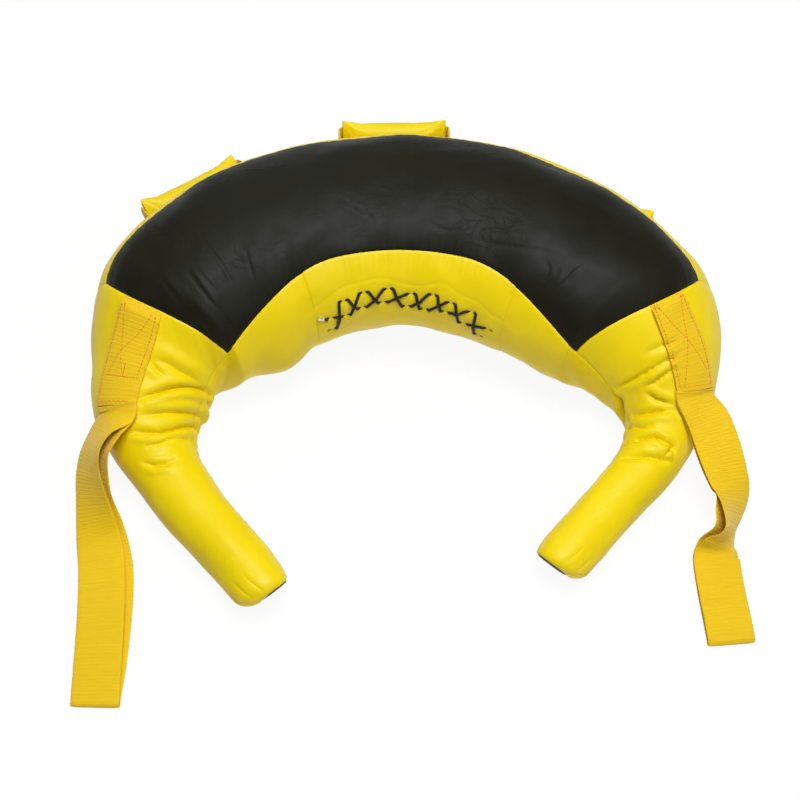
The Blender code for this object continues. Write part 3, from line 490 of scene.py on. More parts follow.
@dataclass(frozen=True)
class BagShape:
    """The stuffed crescent as one parametric surface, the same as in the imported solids."""

    crown_radius: float = 0.269
    crown_sweep: float = math.radians(50.5)
    elbow_radius: float = 0.112
    elbow_sweep: float = math.radians(80.0)
    grip: Pair = (0.146, 0.112)
    middle: Pair = (-0.010, 0.1541)
    left_widths: tuple[float, ...] = (0.0985, 0.098, 0.0845, 0.059, 0.044, 0.0302, 0.0242)
    right_widths: tuple[float, ...] = (0.0985, 0.098, 0.085, 0.0602, 0.0322, 0.025, 0.0232)
    flank_share: float = 0.55
    elbow_drift: Pair = (0.0080, -0.0038)
    drift_place: float = 0.56
    drift_reach: float = 0.75
    slim: Pair = (0.025, 0.97)
    wide: Pair = (0.095, 0.80)
    floor_share: float = 0.94
    end_round: float = 0.014
    end_blend: float = 0.030
    end_lean: float = math.radians(23.0)
    cap_radius: float = 0.0150
    cap_offset: float = 0.0044
    outer_seam: float = 40.0
    low_seam: float = 38.0
    inner_seam_span: Pair = (134.0, 167.0)
    inner_seam_turn: Pair = (0.075, 0.345)
    panel_end: float = 0.255
    panel_bow: Pair = (0.010, 0.050)
    closure: Pair = (0.121, 0.148)

    @property
    def low_turns(self) -> Triple:
        """Angles of the outer low seam, of the inner one, and of the outer one a turn on."""
        return -self.low_seam, 180.0 + self.low_seam, 360.0 - self.low_seam

    def of_side(self, pair: Pair, station: Array) -> Array:
        """The left or the right value of a pair, by the station's sign."""
        return np.where(station >= 0, pair[1], pair[0])

    def crown_arc(self) -> float:
        """Length of the crown's half arc."""
        return self.crown_radius * self.crown_sweep

    def elbow_arc(self) -> float:
        """Length of an elbow's arc."""
        return self.elbow_radius * self.elbow_sweep

    def half_length(self, station: Array) -> Array:
        """Length of the centre line from the crown's middle to the end on the station's side."""
        return self.crown_arc() + self.elbow_arc() + self.of_side(self.grip, station)

    def centre(self, station: Array) -> tuple[Array, Array, Array]:
        """Middle of the section on the floor plan, and its heading there."""
        side = np.where(station >= 0, 1.0, -1.0)
        arc = np.abs(station)
        crown = np.minimum(arc, self.crown_arc()) / self.crown_radius
        elbow = np.clip(arc - self.crown_arc(), 0.0, self.elbow_arc())
        straight = np.maximum(arc - self.crown_arc() - self.elbow_arc(), 0.0)
        turn = crown + elbow / self.elbow_radius
        x = self.crown_radius * np.sin(crown)
        x = x + self.elbow_radius * (np.sin(turn) - np.sin(crown)) + straight * np.cos(turn)
        y = self.crown_radius * (np.cos(crown) - 1.0)
        y = y + self.elbow_radius * (np.cos(turn) - np.cos(crown)) - straight * np.sin(turn)
        return self.middle[0] + side * x, self.middle[1] + y, side * turn

    def half_width(self, station: Array) -> Array:
        """Half width of the section at a station."""
        out = np.zeros_like(station)
        for side in Side:
            here = (station >= 0) == (side is Side.RIGHT)
            crown, elbow = self.crown_arc(), self.elbow_arc()
            end = float(self.half_length(np.array([side.value]))[0])
            knots = [0.0, self.flank_share * crown, crown, crown + elbow / 3.0]
            knots += [crown + elbow * 2.0 / 3.0, crown + elbow, end]
            widths = self.right_widths if side is Side.RIGHT else self.left_widths
            out = np.where(here, monotone(np.abs(station), np.array(knots), np.array(widths)), out)
        return out

    def drift(self, station: Array) -> Array:
        """How far a section sits towards the inner side of the bend."""
        away = np.abs(station) - self.crown_arc() - self.drift_place * self.elbow_arc()
        share = np.minimum(np.abs(away) / (self.drift_reach * self.elbow_arc()), 1.0)
        return self.of_side(self.elbow_drift, station) * (1.0 - share * share) ** 2

    def half_height(self, width: Array) -> Array:
        """Half height of a section of a half width."""
        share = np.clip((width - self.slim[0]) / (self.wide[0] - self.slim[0]), 0.0, 1.0)
        return width * (self.slim[1] + share * (self.wide[1] - self.slim[1]))

    def surface(self, station: Array, angle: Array) -> Array:
        """Points of the smooth surface, in metres."""
        station, angle = np.broadcast_arrays(np.asarray(station, float), np.asarray(angle, float))
        side = np.where(station >= 0, 1.0, -1.0)
        x, y, heading = self.centre(station)
        width = self.half_width(station)
        height = self.half_height(width)
        lift = self.floor_share * height
        to_end = np.maximum(self.half_length(station) - np.abs(station), 0.0)
        rest = 1.0 - np.minimum(to_end / self.end_round, 1.0)
        curl = 1.0 - np.sqrt(1.0 - rest * rest)
        last = self.of_side((self.left_widths[-1], self.right_widths[-1]), station)
        drawn_in = curl * (last - self.cap_radius)
        width = width - drawn_in
        height = height - drawn_in * self.slim[1]
        turn = np.radians(angle)
        across = width * np.cos(turn) - curl * self.cap_offset - self.drift(station)
        up = np.maximum(lift + height * np.sin(turn), 0.0)
        lean = side * math.tan(self.end_lean) * smooth(1.0 - to_end / self.end_blend) * (up - lift)
        px = x + np.sin(heading) * across + np.cos(heading) * lean
        py = y + np.cos(heading) * across - np.sin(heading) * lean
        return np.stack([px, py, up], axis=-1)

    def slopes(self, station: Array, angle: Array) -> tuple[Array, Array]:
        """Change of the point for a metre of station and for a degree of angle."""
        probe, limit = 1e-4, self.half_length(station)
        ahead, behind = np.minimum(station + probe, limit), np.maximum(station - probe, -limit)
        along = self.surface(ahead, angle) - self.surface(behind, angle)
        around = self.surface(station, angle + 0.1) - self.surface(station, angle - 0.1)
        return along / (ahead - behind)[..., None], around / 0.2

    def girth(self, station: Array, angle: Array) -> Array:
        """Rough distance round the section from its outermost point."""
        return np.radians(angle) * self.half_height(self.half_width(station))

    def normal(self, station: Array, angle: Array) -> Array:
        """Unit normals that point out of the bag."""
        along, around = self.slopes(station, angle)
        return unit(np.cross(around, along))

    def inner_seam(self, station: Array) -> Array:
        """Angle of the seam between the top and the inner side."""
        start, end = self.inner_seam_turn
        share = smooth((np.abs(station) - start) / (end - start))
        return self.inner_seam_span[0] + share * (self.inner_seam_span[1] - self.inner_seam_span[0])

    def bowed(self, station: Array, angle: Array) -> Array:
        """Moves stations beside the ends of the front panel onto the bow of its cross seam."""
        seam = self.inner_seam(np.array([self.panel_end]))[0]
        share = np.clip((angle - self.outer_seam) / (seam - self.outer_seam), 0.0, 1.0)
        bow = self.panel_bow[0] * np.sin(math.pi * share)
        near = 1.0 - np.abs(np.abs(station) - self.panel_end) / self.panel_bow[1]
        return station + np.where(station >= 0, 1.0, -1.0) * bow * np.maximum(near, 0.0)


@dataclass(frozen=True)
class Crease:
    """A fold in the leather along a line of (station, angle) places.

    Its valley is a sharp line, and a soft ridge swells on one side or on both.
    """

    line: tuple[Pair, ...]
    depth: float
    width: float
    ridge: float = 0.5
    lean: float = 0.0


@dataclass(frozen=True)
class Swell:
    """A soft bulge, or a dent where its height is negative."""

    station: float
    angle: float
    reach: float
    spread: float
    height: float


LEFT_FOLDS = (
    Crease(((-304, 100), (-306, 115), (-310, 127), (-311, 142), (-309, 158)), 3.8, 4.8, 0.5, 0.6),
    Crease(((-307, 97), (-313, 103), (-318, 110)), 3.8, 2.7, 0.5, -0.5),
    Crease(((-339, 84), (-337, 100), (-332, 117), (-326, 135), (-318, 156), (-308, 180)),
           8.1, 3.4, 0.7, -0.4),
    Crease(((-353, 84), (-355, 105), (-355, 127), (-352, 151), (-341, 190)), 5.2, 3.4, 0.7, 0.5),
    Crease(((-360, 62), (-366, 79), (-371, 95), (-372, 118), (-367, 149), (-357, 188)),
           6.2, 3.1, 0.7, -0.4),
    Crease(((-376, 75), (-379, 94), (-379, 119), (-381, 148)), 3.8, 2.7, 0.6, 0.4),
    Crease(((-386, 58), (-393, 70), (-398, 86), (-400, 104)), 4.8, 2.9, 0.7, -0.3),
    Crease(((-318, 175), (-322, 195), (-324, 212)), 8.5, 3.4, 0.7),
    Crease(((-352, 165), (-360, 185), (-364, 205)), 6.7, 3.1, 0.6),
    Crease(((-378, 160), (-384, 180), (-388, 205)), 6.2, 2.7, 0.6),
)
RIGHT_FOLDS = (
    Crease(((293, 84), (295, 96), (297, 110)), 2.8, 3.4, 0.6, 0.6),
    Crease(((312, 156), (313, 133), (311, 116), (307, 100), (303, 86)), 4.8, 2.7, 0.6, -0.5),
    Crease(((320, 120), (318, 106), (314, 96), (310, 86)), 4.3, 2.7, 0.6, 0.4),
    Crease(((325, 118), (330, 105), (332, 91), (333, 74)), 5.7, 3.1, 0.7, 0.5),
    Crease(((340, 145), (342, 119), (340, 104), (338, 86), (337, 70)), 5.7, 3.1, 0.7, -0.4),
    Crease(((352, 148), (355, 126), (353, 108)), 3.4, 2.7, 0.6),
    Crease(((370, 133), (366, 112), (362, 92), (363, 75), (362, 58), (365, 50)),
           8.1, 3.1, 0.8, -0.4),
    Crease(((370, 66), (366, 60), (362, 54)), 4.8, 2.0, 0.5),
    Crease(((392, 128), (386, 107), (380, 85), (376, 63), (372, 45)), 5.7, 3.4, 0.7, 0.4),
    Crease(((320, 162), (326, 175), (330, 200)), 7.6, 3.4, 0.7),
    Crease(((350, 155), (356, 175), (360, 200)), 6.7, 3.1, 0.6),
    Crease(((372, 140), (380, 165), (386, 195)), 5.7, 2.7, 0.6),
)
BLACK_FOLDS = (
    Crease(((-222, 100), (-225, 112), (-227, 124), (-225, 133)), 1.0, 1.7, 0.5, 0.5),
    Crease(((-192, 93), (-194, 105), (-195, 114), (-199, 122)), 0.9, 1.6, 0.4, 0.5),
    Crease(((-165, 108), (-170, 117), (-175, 126)), 0.8, 1.5, 0.4, -0.5),
    Crease(((-241, 88), (-246, 100), (-250, 110)), 0.8, 1.6, 0.4, 0.5),
    Crease(((-251, 117), (-254, 126), (-254, 136)), 0.8, 1.6, 0.4, 0.5),
    Crease(((-228, 131), (-226, 139), (-226, 147)), 0.7, 1.4, 0.4, 0.5),
    Crease(((-215, 104), (-217, 114), (-216, 122)), 0.7, 1.3, 0.4, -0.5),
    Crease(((-58, 101), (-50, 106), (-36, 110), (-28, 117)), 0.7, 1.4, 0.4, 0.5),
    Crease(((164, 119), (171, 121), (175, 124), (173, 129)), 0.8, 1.4, 0.5, 0.5),
    Crease(((192, 129), (196, 121), (196, 115), (200, 109)), 0.9, 1.5, 0.5, 0.5),
    Crease(((84, 123), (112, 122), (144, 118), (178, 112)), 0.7, 2.2, 0.4, 0.3),
    Crease(((180, 118), (184, 124), (181, 131)), 0.8, 1.4, 0.5, -0.4),
    Crease(((205, 120), (209, 126), (206, 133)), 0.7, 1.3, 0.5, 0.4),
    Crease(((30, 118), (48, 121), (66, 120)), 0.5, 1.8, 0.4, 0.3),
)
GRIP_FOLDS = (
    Crease(((-518, 40), (-526, 42), (-534, 46)), 0.9, 2.0, 0.5),
    Crease(((-521, 12), (-529, 10), (-537, 6)), 1.0, 2.2, 0.5),
    Crease(((-517, -12), (-527, -8), (-537, -4)), 0.8, 2.2, 0.5),
    Crease(((-519, 66), (-527, 68), (-535, 72)), 0.6, 2.0, 0.5),
    Crease(((482, 30), (490, 32), (499, 36)), 0.8, 2.2, 0.5),
    Crease(((484, 4), (492, 4), (500, 2)), 0.9, 2.2, 0.5),
    Crease(((483, 62), (490, 64), (498, 68)), 0.6, 2.0, 0.5),
)
SWELLS = (
    Swell(0.000, 205.0, 0.055, 34.0, -4.5),
    Swell(-0.170, 205.0, 0.036, 32.0, 10.0),
    Swell(0.150, 45.0, 0.050, 30.0, -4.5),
    Swell(0.333, 185.0, 0.015, 35.0, -4.5),
    Swell(-0.330, 200.0, 0.014, 30.0, 3.0),
    Swell(-0.358, 190.0, 0.015, 34.0, -1.5),
    Swell(-0.335, 0.0, 0.016, 40.0, 2.0),
    Swell(-0.296, 0.0, 0.012, 40.0, -2.5),
    Swell(-0.345, 20.0, 0.008, 40.0, -2.0),
    Swell(0.300, 0.0, 0.014, 40.0, -2.0),
    Swell(0.330, 0.0, 0.016, 40.0, 1.5),
)


class Relief:
    """Height of the real leather over the smooth surface: lumps, swells and folds.

    The measures of a fold are in widths of it: how far it is worked out, the radius and the
    fall of its valley, the place and reach of its ridges, and where it fades out.
    """

    box = 5.0
    valley_radius = 0.22
    valley_fall = 0.62
    ridge_place = 1.7
    ridge_reach = 1.3
    fade_place = 3.6
    waves = ((0.085, 0.55, 7), (0.042, 0.22, 9), (0.021, 0.07, 12))
    ground: Pair = (0.002, 0.03)

    def __init__(self, shape: BagShape) -> None:
        """Prepares the folds' lines in space and draws the lumps."""
        self.shape = shape
        folds = LEFT_FOLDS + RIGHT_FOLDS + BLACK_FOLDS + GRIP_FOLDS
        self.folds = [self._prepared(fold) for fold in folds]
        random = np.random.default_rng(11)
        self.lumps = []
        for length, height, count in self.waves:
            for _ in range(count):
                way = random.uniform(0.0, math.tau)
                size = length * random.uniform(0.8, 1.25)
                phase = random.uniform(0.0, math.tau)
                pull = height * MM * math.sqrt(2.0 / count)
                self.lumps.append((math.cos(way) / size, math.sin(way) / size, phase, pull))

    def _prepared(self, fold: Crease) -> tuple[Array, Array, Crease]:
        """A fold's line as points in space, evenly refined, with the normals there."""
        spots = np.array(fold.line, float)
        run = np.arange(len(spots))
        fine = np.linspace(0, len(spots) - 1, (len(spots) - 1) * 6 + 1)
        station = np.interp(fine, run, spots[:, 0]) * MM
        angle = np.interp(fine, run, spots[:, 1])
        return self.shape.surface(station, angle), self.shape.normal(station, angle), fold

    def height(self, station: Array, angle: Array, points: Array) -> Array:
        """Height of the leather at places of the smooth surface.

        Args:
            station: Stations of the places.
            angle: Their angles.
            points: Their points in space.

        Returns:
            Heights in metres.
        """
        girth = self.shape.girth(station, angle)
        total = np.zeros_like(station)
        for fx, fy, phase, pull in self.lumps:
            total += pull * np.sin(math.tau * (station * fx + girth * fy) + phase)
        ground = smooth((points[..., 2] - self.ground[0]) / self.ground[1])
        total *= ground
        for swell in SWELLS:
            turn = (angle - swell.angle + 180.0) % 360.0 - 180.0
            near = ((station - swell.station) / swell.reach) ** 2 + (turn / swell.spread) ** 2
            total += swell.height * MM * np.exp(-near) * ground
        flat, out = points.reshape(-1, 3), total.reshape(-1)
        for line, normals, fold in self.folds:
            self._add_fold(out, flat, line, normals, fold)
        return out.reshape(station.shape)

    def _add_fold(self, out: Array, points: Array, line: Array, normals: Array, fold: Crease) -> None:
        """Adds one fold's height to the heights at points.

        Args:
            out: Heights, which are changed.
            points: Places in space.
            line: Points of the fold's line.
            normals: The surface's normals there.
            fold: Its measures.
        """
        width = fold.width * MM
        reach = self.box * width
        low, high = line.min(axis=0) - reach, line.max(axis=0) + reach
        near = np.flatnonzero(((points > low) & (points < high)).all(axis=1))
        if not len(near):
            return
        distance, away, best, place = nearest_on(points[near], line)
        cross = np.cross(normals[best], unit(np.diff(line, axis=0))[best])
        signed = distance * np.where((away * cross).sum(axis=1) >= 0, 1.0, -1.0)
        taper = np.sqrt(np.sin(math.pi * np.clip(place, 0.03, 0.97)))
        radius = self.valley_radius * width
        rounded = np.sqrt(distance**2 + radius**2) - radius
        shape = -np.exp(-rounded / (self.valley_fall * width))
        for way in (1.0, -1.0):
            off = (signed - way * self.ridge_place * width) / (self.ridge_reach * width)
            shape += fold.ridge / 2.0 * (1.0 + way * fold.lean) * np.exp(-(off**2))
        fade = np.exp(-((distance / (self.fade_place * width)) ** 4))
        out[near] += fold.depth * MM * taper * fade * shape


# Mesh helpers


def deselect() -> None:
    """Deselects everything."""
    for item in bpy.context.selected_objects:
        item.select_set(False)


def linked(name: str, data: bpy.types.ID) -> bpy.types.Object:
    """A new object in the scene."""
    item = bpy.data.objects.new(name, data)
    bpy.context.scene.collection.objects.link(item)
    return item


def add_mesh(
    name: str, points: Array, faces: Array | list, material: bpy.types.Material | None
) -> bpy.types.Object:
    """A new smooth mesh object at the origin."""
    mesh = bpy.data.meshes.new(name)
    mesh.from_pydata(np.asarray(points, float).tolist(), [], [list(map(int, face)) for face in faces])
    mesh.materials.append(material)
    mesh.shade_smooth()
    return linked(name, mesh)


def grid_faces(rows: int, columns: int, closed: bool = False) -> Array:
    """Quads of a grid whose points run column by column within a row."""
    last = columns if closed else columns - 1
    i, j = np.meshgrid(np.arange(rows - 1), np.arange(last), indexing="ij")
    k = (j + 1) % columns
    quads = [i * columns + j, i * columns + k, (i + 1) * columns + k, (i + 1) * columns + j]
    return np.stack(quads, axis=-1).reshape(-1, 4)


def give_uv(item: bpy.types.Object, places: Array) -> None:
    """Writes a UV map from one (u, v) place for each vertex."""
    layer = item.data.uv_layers.new(name="cloth")
    corners = np.zeros(len(item.data.loops), np.int32)
    item.data.loops.foreach_get("vertex_index", corners)
    layer.data.foreach_set("uv", places.reshape(-1, 2)[corners].astype(np.float32).ravel())


def apply_modifiers(item: bpy.types.Object) -> None:
    """Applies an object's modifiers in order."""
    deselect()
    item.select_set(True)
    bpy.context.view_layer.objects.active = item
    for modifier in list(item.modifiers):
        bpy.ops.object.modifier_apply(modifier=modifier.name)


def thicken(item: bpy.types.Object, wall: float) -> None:
    """Gives an open skin a wall that grows inwards."""
    modifier = item.modifiers.new("wall", "SOLIDIFY")
    modifier.thickness = wall
    modifier.offset = -1.0
    modifier.use_even_offset = False
    modifier.use_rim = True
    apply_modifiers(item)
    face_outwards(item)


def face_outwards(item: bpy.types.Object) -> None:
    """Recalculates a closed mesh's normals to point out."""
    bm = bmesh.new()
    bm.from_mesh(item.data)
    bmesh.ops.recalc_face_normals(bm, faces=bm.faces[:])
    bm.to_mesh(item.data)
    bm.free()


def skin(
    name: str,
    points: Array,
    wall: float,
    material: bpy.types.Material,
    normals: Array | None = None,
    places: Array | None = None,
) -> bpy.types.Object:
    """A leather or webbing skin on a grid of points.

    Args:
        name: The piece's name.
        points: Points of its outer face, row by row.
        wall: Its thickness, which grows inwards.
        material: Its finish.
        normals: Directions out of the bag at the points, for a grid that may run either way.
        places: Its UV map, if it has one.

    Returns:
        The closed piece.
    """
    faces = grid_faces(*points.shape[:2])
    if normals is None:
        faces = faces[:, ::-1]
    item = add_mesh(name, points.reshape(-1, 3), faces, material)
    if places is not None:
        give_uv(item, places)
    if normals is not None:
        face = item.data.polygons[len(item.data.polygons) // 2]
        if Vector(normals.reshape(-1, 3)[face.vertices[0]]).dot(face.normal) < 0.0:
            item.data.flip_normals()
    thicken(item, wall)
    return item


def ringed(name: str, rings: Array, places: Array, material: bpy.types.Material) -> bpy.types.Object:
    """A closed mesh from rings of points, with flat ends and a UV map."""
    rows, columns = rings.shape[:2]
    faces = grid_faces(rows, columns, closed=True).tolist()
    last = (rows - 1) * columns
    faces += [list(range(columns))[::-1], list(range(last, last + columns))]
    item = add_mesh(name, rings.reshape(-1, 3), faces, material)
    give_uv(item, places)
    face_outwards(item)
    return item


def settle(item: bpy.types.Object, body: str, slot: str, *nodes: str) -> bpy.types.Object:
    """Rides a finished piece on a body and hides the solids that it stands for."""
    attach(item, body)
    if nodes:
        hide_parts(*nodes)
    LOG.info("%s: %d faces", item.name, len(item.data.polygons))
    return item


def edge_steps(length: float, step: float, roll: float, start: Edge, end: Edge) -> Ladder:
    """Places across a panel, closer together at its turned edges, and their depths.

    Args:
        length: Width of the panel.
        step: Usual spacing.
        roll: Radius of the turned edge.
        start: What the first edge does.
        end: What the last edge does.

    Returns:
        Distances from the first edge, and how far each one is turned in.
    """
    shares = np.array([0.0, 0.0, 0.04, 0.14, 0.3, 0.55, 1.0])
    depths = 1.0 - np.sqrt(1.0 - (1.0 - shares) ** 2)
    depths[0] = 1.9
    turned = (shares * roll, depths * roll)
    flat = (np.array([0.0, roll / 2, roll]), np.zeros(3))
    lead, lead_depth = turned if start is Edge.TURNED else flat
    tail, tail_depth = turned if end is Edge.TURNED else flat
    count = max(int(round((length - 2.0 * roll) / step)), 2)
    inside = np.linspace(roll, length - roll, count + 1)[1:-1]
    places = np.concatenate([lead, inside, length - tail[::-1]])
    return places, np.concatenate([lead_depth, np.zeros(len(inside)), tail_depth[::-1]])


# Leather cover


def steady(angle: float) -> Seam:
    """A seam that stays at one angle."""
    return lambda station: np.full_like(station, angle)


@dataclass
class Cover:
    """The leather panels, cut along the seams of one stuffed form."""

    shape: BagShape
    relief: Relief
    yellow: bpy.types.Material
    black: bpy.types.Material
    step: float = 0.0019
    roll: float = 0.0021
    wall: float = 0.0012
    seam_gap: float = 0.0003
    floor_gap: float = 0.0002
    tip_gap: float = 0.0002
    pillow: float = 0.0011
    pillow_reach: float = 0.011
    pucker: float = 0.00024
    pucker_pitch: float = 0.0105
    pucker_drift: Pair = (2.1, 47.0)
    pucker_second: Pair = (0.6, 0.58)
    pucker_reach: Pair = (0.00605, 0.0015)
    cap_rings: tuple[Pair, ...] = ((0.99, -2.2), (0.985, -0.2), (0.93, 0.6), (0.8, 1.0), (0.6, 1.3),
                                   (0.4, 1.4), (0.2, 1.5), (0.02, 1.5), (0.02, -1.6), (0.97, -3.4))

    def spread(self, span: Pair, low: Seam, high: Seam, bow: bool, edges: Edges) -> Grid:
        """Lays a panel's grid of stations and angles between its four seams.

        Args:
            span: Stations of the two cross seams.
            low: The lower long seam.
            high: The upper long seam.
            bow: Whether the cross seams follow the bow of the front panel.
            edges: What the first, last, low and high edges do.

        Returns:
            Stations, angles, how far each place is turned in, and distances to the edges.
        """
        long = span[1] - span[0]
        along, turned = edge_steps(long, self.step, self.roll, edges[0], edges[1])
        station = span[0] + along
        bottom, rise = low(station), high(station) - low(station)
        reach = np.radians(rise) * self.shape.half_height(self.shape.half_width(station))
        wide = float(reach.max())
        across, rolled = edge_steps(wide, self.step, self.roll, edges[2], edges[3])
        # An edge's roll keeps its real size where the panel narrows.
        inner = (across - self.roll) / (wide - 2.0 * self.roll)
        body = self.roll + inner * (reach[:, None] - 2.0 * self.roll)
        tail = reach[:, None] - (wide - across)
        dist = np.where(wide - across <= self.roll, tail, body)
        dist = np.where(across <= self.roll, across, dist)
        angle = bottom[:, None] + dist / reach[:, None] * rise[:, None]
        s = station[:, None] + np.zeros(len(across))
        s = self.shape.bowed(s, angle) if bow else s
        depth = np.maximum(turned[:, None], rolled)
        ways = (along[:, None], (long - along)[:, None], dist, reach[:, None] - dist)
        far = [way if edge is Edge.TURNED else np.ones(1) for way, edge in zip(ways, edges)]
        return s, angle, depth, np.stack([np.broadcast_to(way, s.shape) for way in far])

    def seam_pull(self, station: Array, angle: Array, gaps: Array) -> Array:
        """How far the seams draw the leather in, with the small gathers along them.

        Args:
            station: Stations of the places.
            angle: Their angles.
            gaps: Their distances to the four edges.

        Returns:
            Heights in metres, mostly below zero.
        """
        girth = self.shape.girth(station, angle)
        pull = np.zeros_like(station)
        reach, start = self.pucker_reach
        for index, gap in enumerate(gaps):
            run = girth if index < 2 else station
            drift = self.pucker_drift[0] * np.sin(run * self.pucker_drift[1] + index)
            beat = np.sin(math.tau * run / self.pucker_pitch + drift)
            share, pitch = self.pucker_second
            beat += share * np.sin(math.tau * run / (self.pucker_pitch * pitch) + index)
            pull -= self.pillow * np.exp(-gap / self.pillow_reach)
            pull += self.pucker * beat * np.exp(-gap / reach) * (1.0 - np.exp(-gap / start))
        return pull

    def place(self, station: Array, angle: Array, rise: Array, gaps: Array | None = None) -> Array:
        """Points of the dressed surface.

        Args:
            station: Stations of the places.
            angle: Their angles.
            rise: How far they lie over the leather, or under it below zero.
            gaps: Distances to a panel's edges, where its seams pull.

        Returns:
            Points in space, never below the floor.
        """
        points = self.shape.surface(station, angle)
        height = self.relief.height(station, angle, points) + rise
        if gaps is not None:
            height = height + self.seam_pull(station, angle, gaps)
        made = points + self.shape.normal(station, angle) * height[..., None]
        made[..., 2] = np.maximum(made[..., 2], self.floor_gap - rise)
        return made

    def panel(
        self,
        name: str,
        span: Pair,
        seams: tuple[Seam, Seam],
        nodes: Sequence[str],
        black: bool = False,
        bow: bool = False,
        edges: Edges = (Edge.TURNED,) * 4,
    ) -> None:
        """Builds one leather panel as a closed skin with turned edges.

        Args:
            name: The piece's name.
            span: Stations of its cross seams.
            seams: Its lower and upper long seams.
            nodes: The solids that it stands for.
            black: Whether its leather is black.
            bow: Whether its cross seams follow the bow of the front panel.
            edges: What the first, last, low and high edges do.
        """
        half = self.seam_gap / 2.0
        s, angle, depth, gaps = self.spread((span[0] + half, span[1] - half), *seams, bow, edges)
        look = self.black if black else self.yellow
        item = skin(name, self.place(s, angle, -depth, gaps), self.wall, look)
        settle(item, "bag", "leather_black" if black else "leather_yellow", *nodes)

    def build(self) -> None:
        """Builds every panel but the laced one."""
        shape = self.shape
        outer, inner = steady(shape.outer_seam), shape.inner_seam
        lower, under, whole = (steady(turn) for turn in shape.low_turns)
        end = shape.panel_end
        fill = ["filling_crown", "filling_shoulder_left", "filling_shoulder_right"]
        span, top = (-end, end), ["front_panel", *fill]
        self.panel("top_panel", span, (outer, inner), top, black=True, bow=True)
        self.panel("rim_panel", span, (lower, outer), ["outer_panel"])
        self.panel("under_panel", span, (under, whole), ["back_panel"], black=True)
        for side in Side:
            word = side.word
            tip = float(shape.half_length(np.array([side.value]))[0])
            edges = (Edge.TURNED, Edge.OPEN)[:: int(side.value)] + (Edge.TURNED,) * 2
            arm, inside = (
                tuple(sorted((side.value * start, side.value * (tip - self.tip_gap))))
                for start in (end, shape.closure[side is Side.RIGHT])
            )
            fills = [f"front_sleeve_{word}", f"filling_elbow_{word}", f"filling_grip_{word}"]
            self.panel(f"arm_sleeve_{word}", arm, (lower, inner), fills, bow=True, edges=edges)
            below = [f"back_sleeve_{word}"]
            self.panel(f"arm_underside_{word}", arm, (under, whole), below, black=True, edges=edges)
            gusset = [f"inner_panel_{word}"]
            self.panel(f"inner_gusset_{word}", inside, (inner, under), gusset, edges=edges)
            self.end_cap(side, tip)

    def end_cap(self, side: Side, tip: float) -> None:
        """The small black disc at a grip's end, crowned and drawn in at its rim."""
        count = 72
        angles = np.linspace(0.0, 360.0, count + 1)[:-1]
        station = np.full(count, side.value * (tip - 1e-5))
        rim = self.shape.surface(station, angles)
        middle = rim.mean(axis=0)
        heading = self.shape.centre(station[:1])[2][0]
        away = np.array([math.cos(heading), -math.sin(heading), 0.0]) * side.value
        axis = unit(np.cross(rim[0] - middle, rim[count // 4] - middle))
        axis *= np.sign(axis @ away)
        rings = [middle + (rim - middle) * share + axis * out * MM for share, out in self.cap_rings]
        faces = grid_faces(len(rings) + 1, count, closed=True) % (len(rings) * count)
        item = add_mesh(f"grip_end_{side.word}", np.concatenate(rings), faces, self.black)
        face_outwards(item)
        settle(item, "bag", "leather_black", f"end_cap_{side.word}")


# Stitches


@dataclass
class Stitching:
    """Rows of stitches on the bag, each a small bead of thread pressed into the cloth."""

    name: str
    material: bpy.types.Material
    slot: str
    length: float = 0.0026
    pitch: float = 0.0037
    thick: float = 0.00055
    points: list[Array] = field(default_factory=list)
    faces: list[Array] = field(default_factory=list)

    def __post_init__(self) -> None:
        """Makes the bead that every row repeats."""
        self.spots, self.bead_faces = self.bead()

    def bead(self) -> tuple[Array, list[list[int]]]:
        """One stitch along X, sunk at both ends, made from a primitive.

        Returns:
            Its points and its faces.
        """
        deselect()
        depth = self.length * 0.7
        bpy.ops.mesh.primitive_cylinder_add(vertices=6, radius=self.thick / 2.0, depth=depth)
        item = bpy.context.object
        bpy.ops.object.mode_set(mode="EDIT")
        bpy.ops.mesh.select_all(action="DESELECT")
        bm = bmesh.from_edit_mesh(item.data)
        bm.faces.ensure_lookup_table()
        for face in bm.faces:
            face.select_set(abs(face.normal.z) > 0.9)
        bmesh.update_edit_mesh(item.data)
        push = {"value": self.length * 0.15}
        bpy.ops.mesh.extrude_region_shrink_fatten(TRANSFORM_OT_shrink_fatten=push)
        bpy.ops.transform.resize(value=(0.45, 0.45, 1.0))
        bpy.ops.object.mode_set(mode="OBJECT")
        spots = np.array([vertex.co[:] for vertex in item.data.vertices])
        faces = [list(face.vertices) for face in item.data.polygons]
        bpy.data.objects.remove(item, do_unlink=True)
        sunk = (np.abs(spots[:, 2]) / (self.length / 2.0)) ** 2 * self.thick * 0.55
        return np.stack([spots[:, 2], spots[:, 1], spots[:, 0] - sunk], axis=1), faces

    def run(self, line: Array, normals: Array, pitch: float | None = None) -> None:
        """Sews along a line.

        Args:
            line: Points of the line.
            normals: Directions out of the cloth there.
            pitch: Distance from stitch to stitch, where it isn't the usual one.
        """
        rows = resampled(np.concatenate([line, normals], axis=1), pitch or self.pitch)
        for first, last in zip(rows, rows[1:]):
            along = unit(last[:3] - first[:3])
            up = unit(first[3:] - along * (first[3:] @ along))
            side = np.cross(up, along)
            middle = (first[:3] + last[:3]) / 2.0
            start = len(self.points) * len(self.spots)
            self.points.append(middle + self.spots @ np.stack([along, side, up]))
            self.faces += [[start + corner for corner in face] for face in self.bead_faces]

    def build(self) -> None:
        """Makes all rows one piece."""
        item = add_mesh(self.name, np.concatenate(self.points), self.faces, self.material)
        face_outwards(item)
        settle(item, "bag", self.slot)


# Laced closure

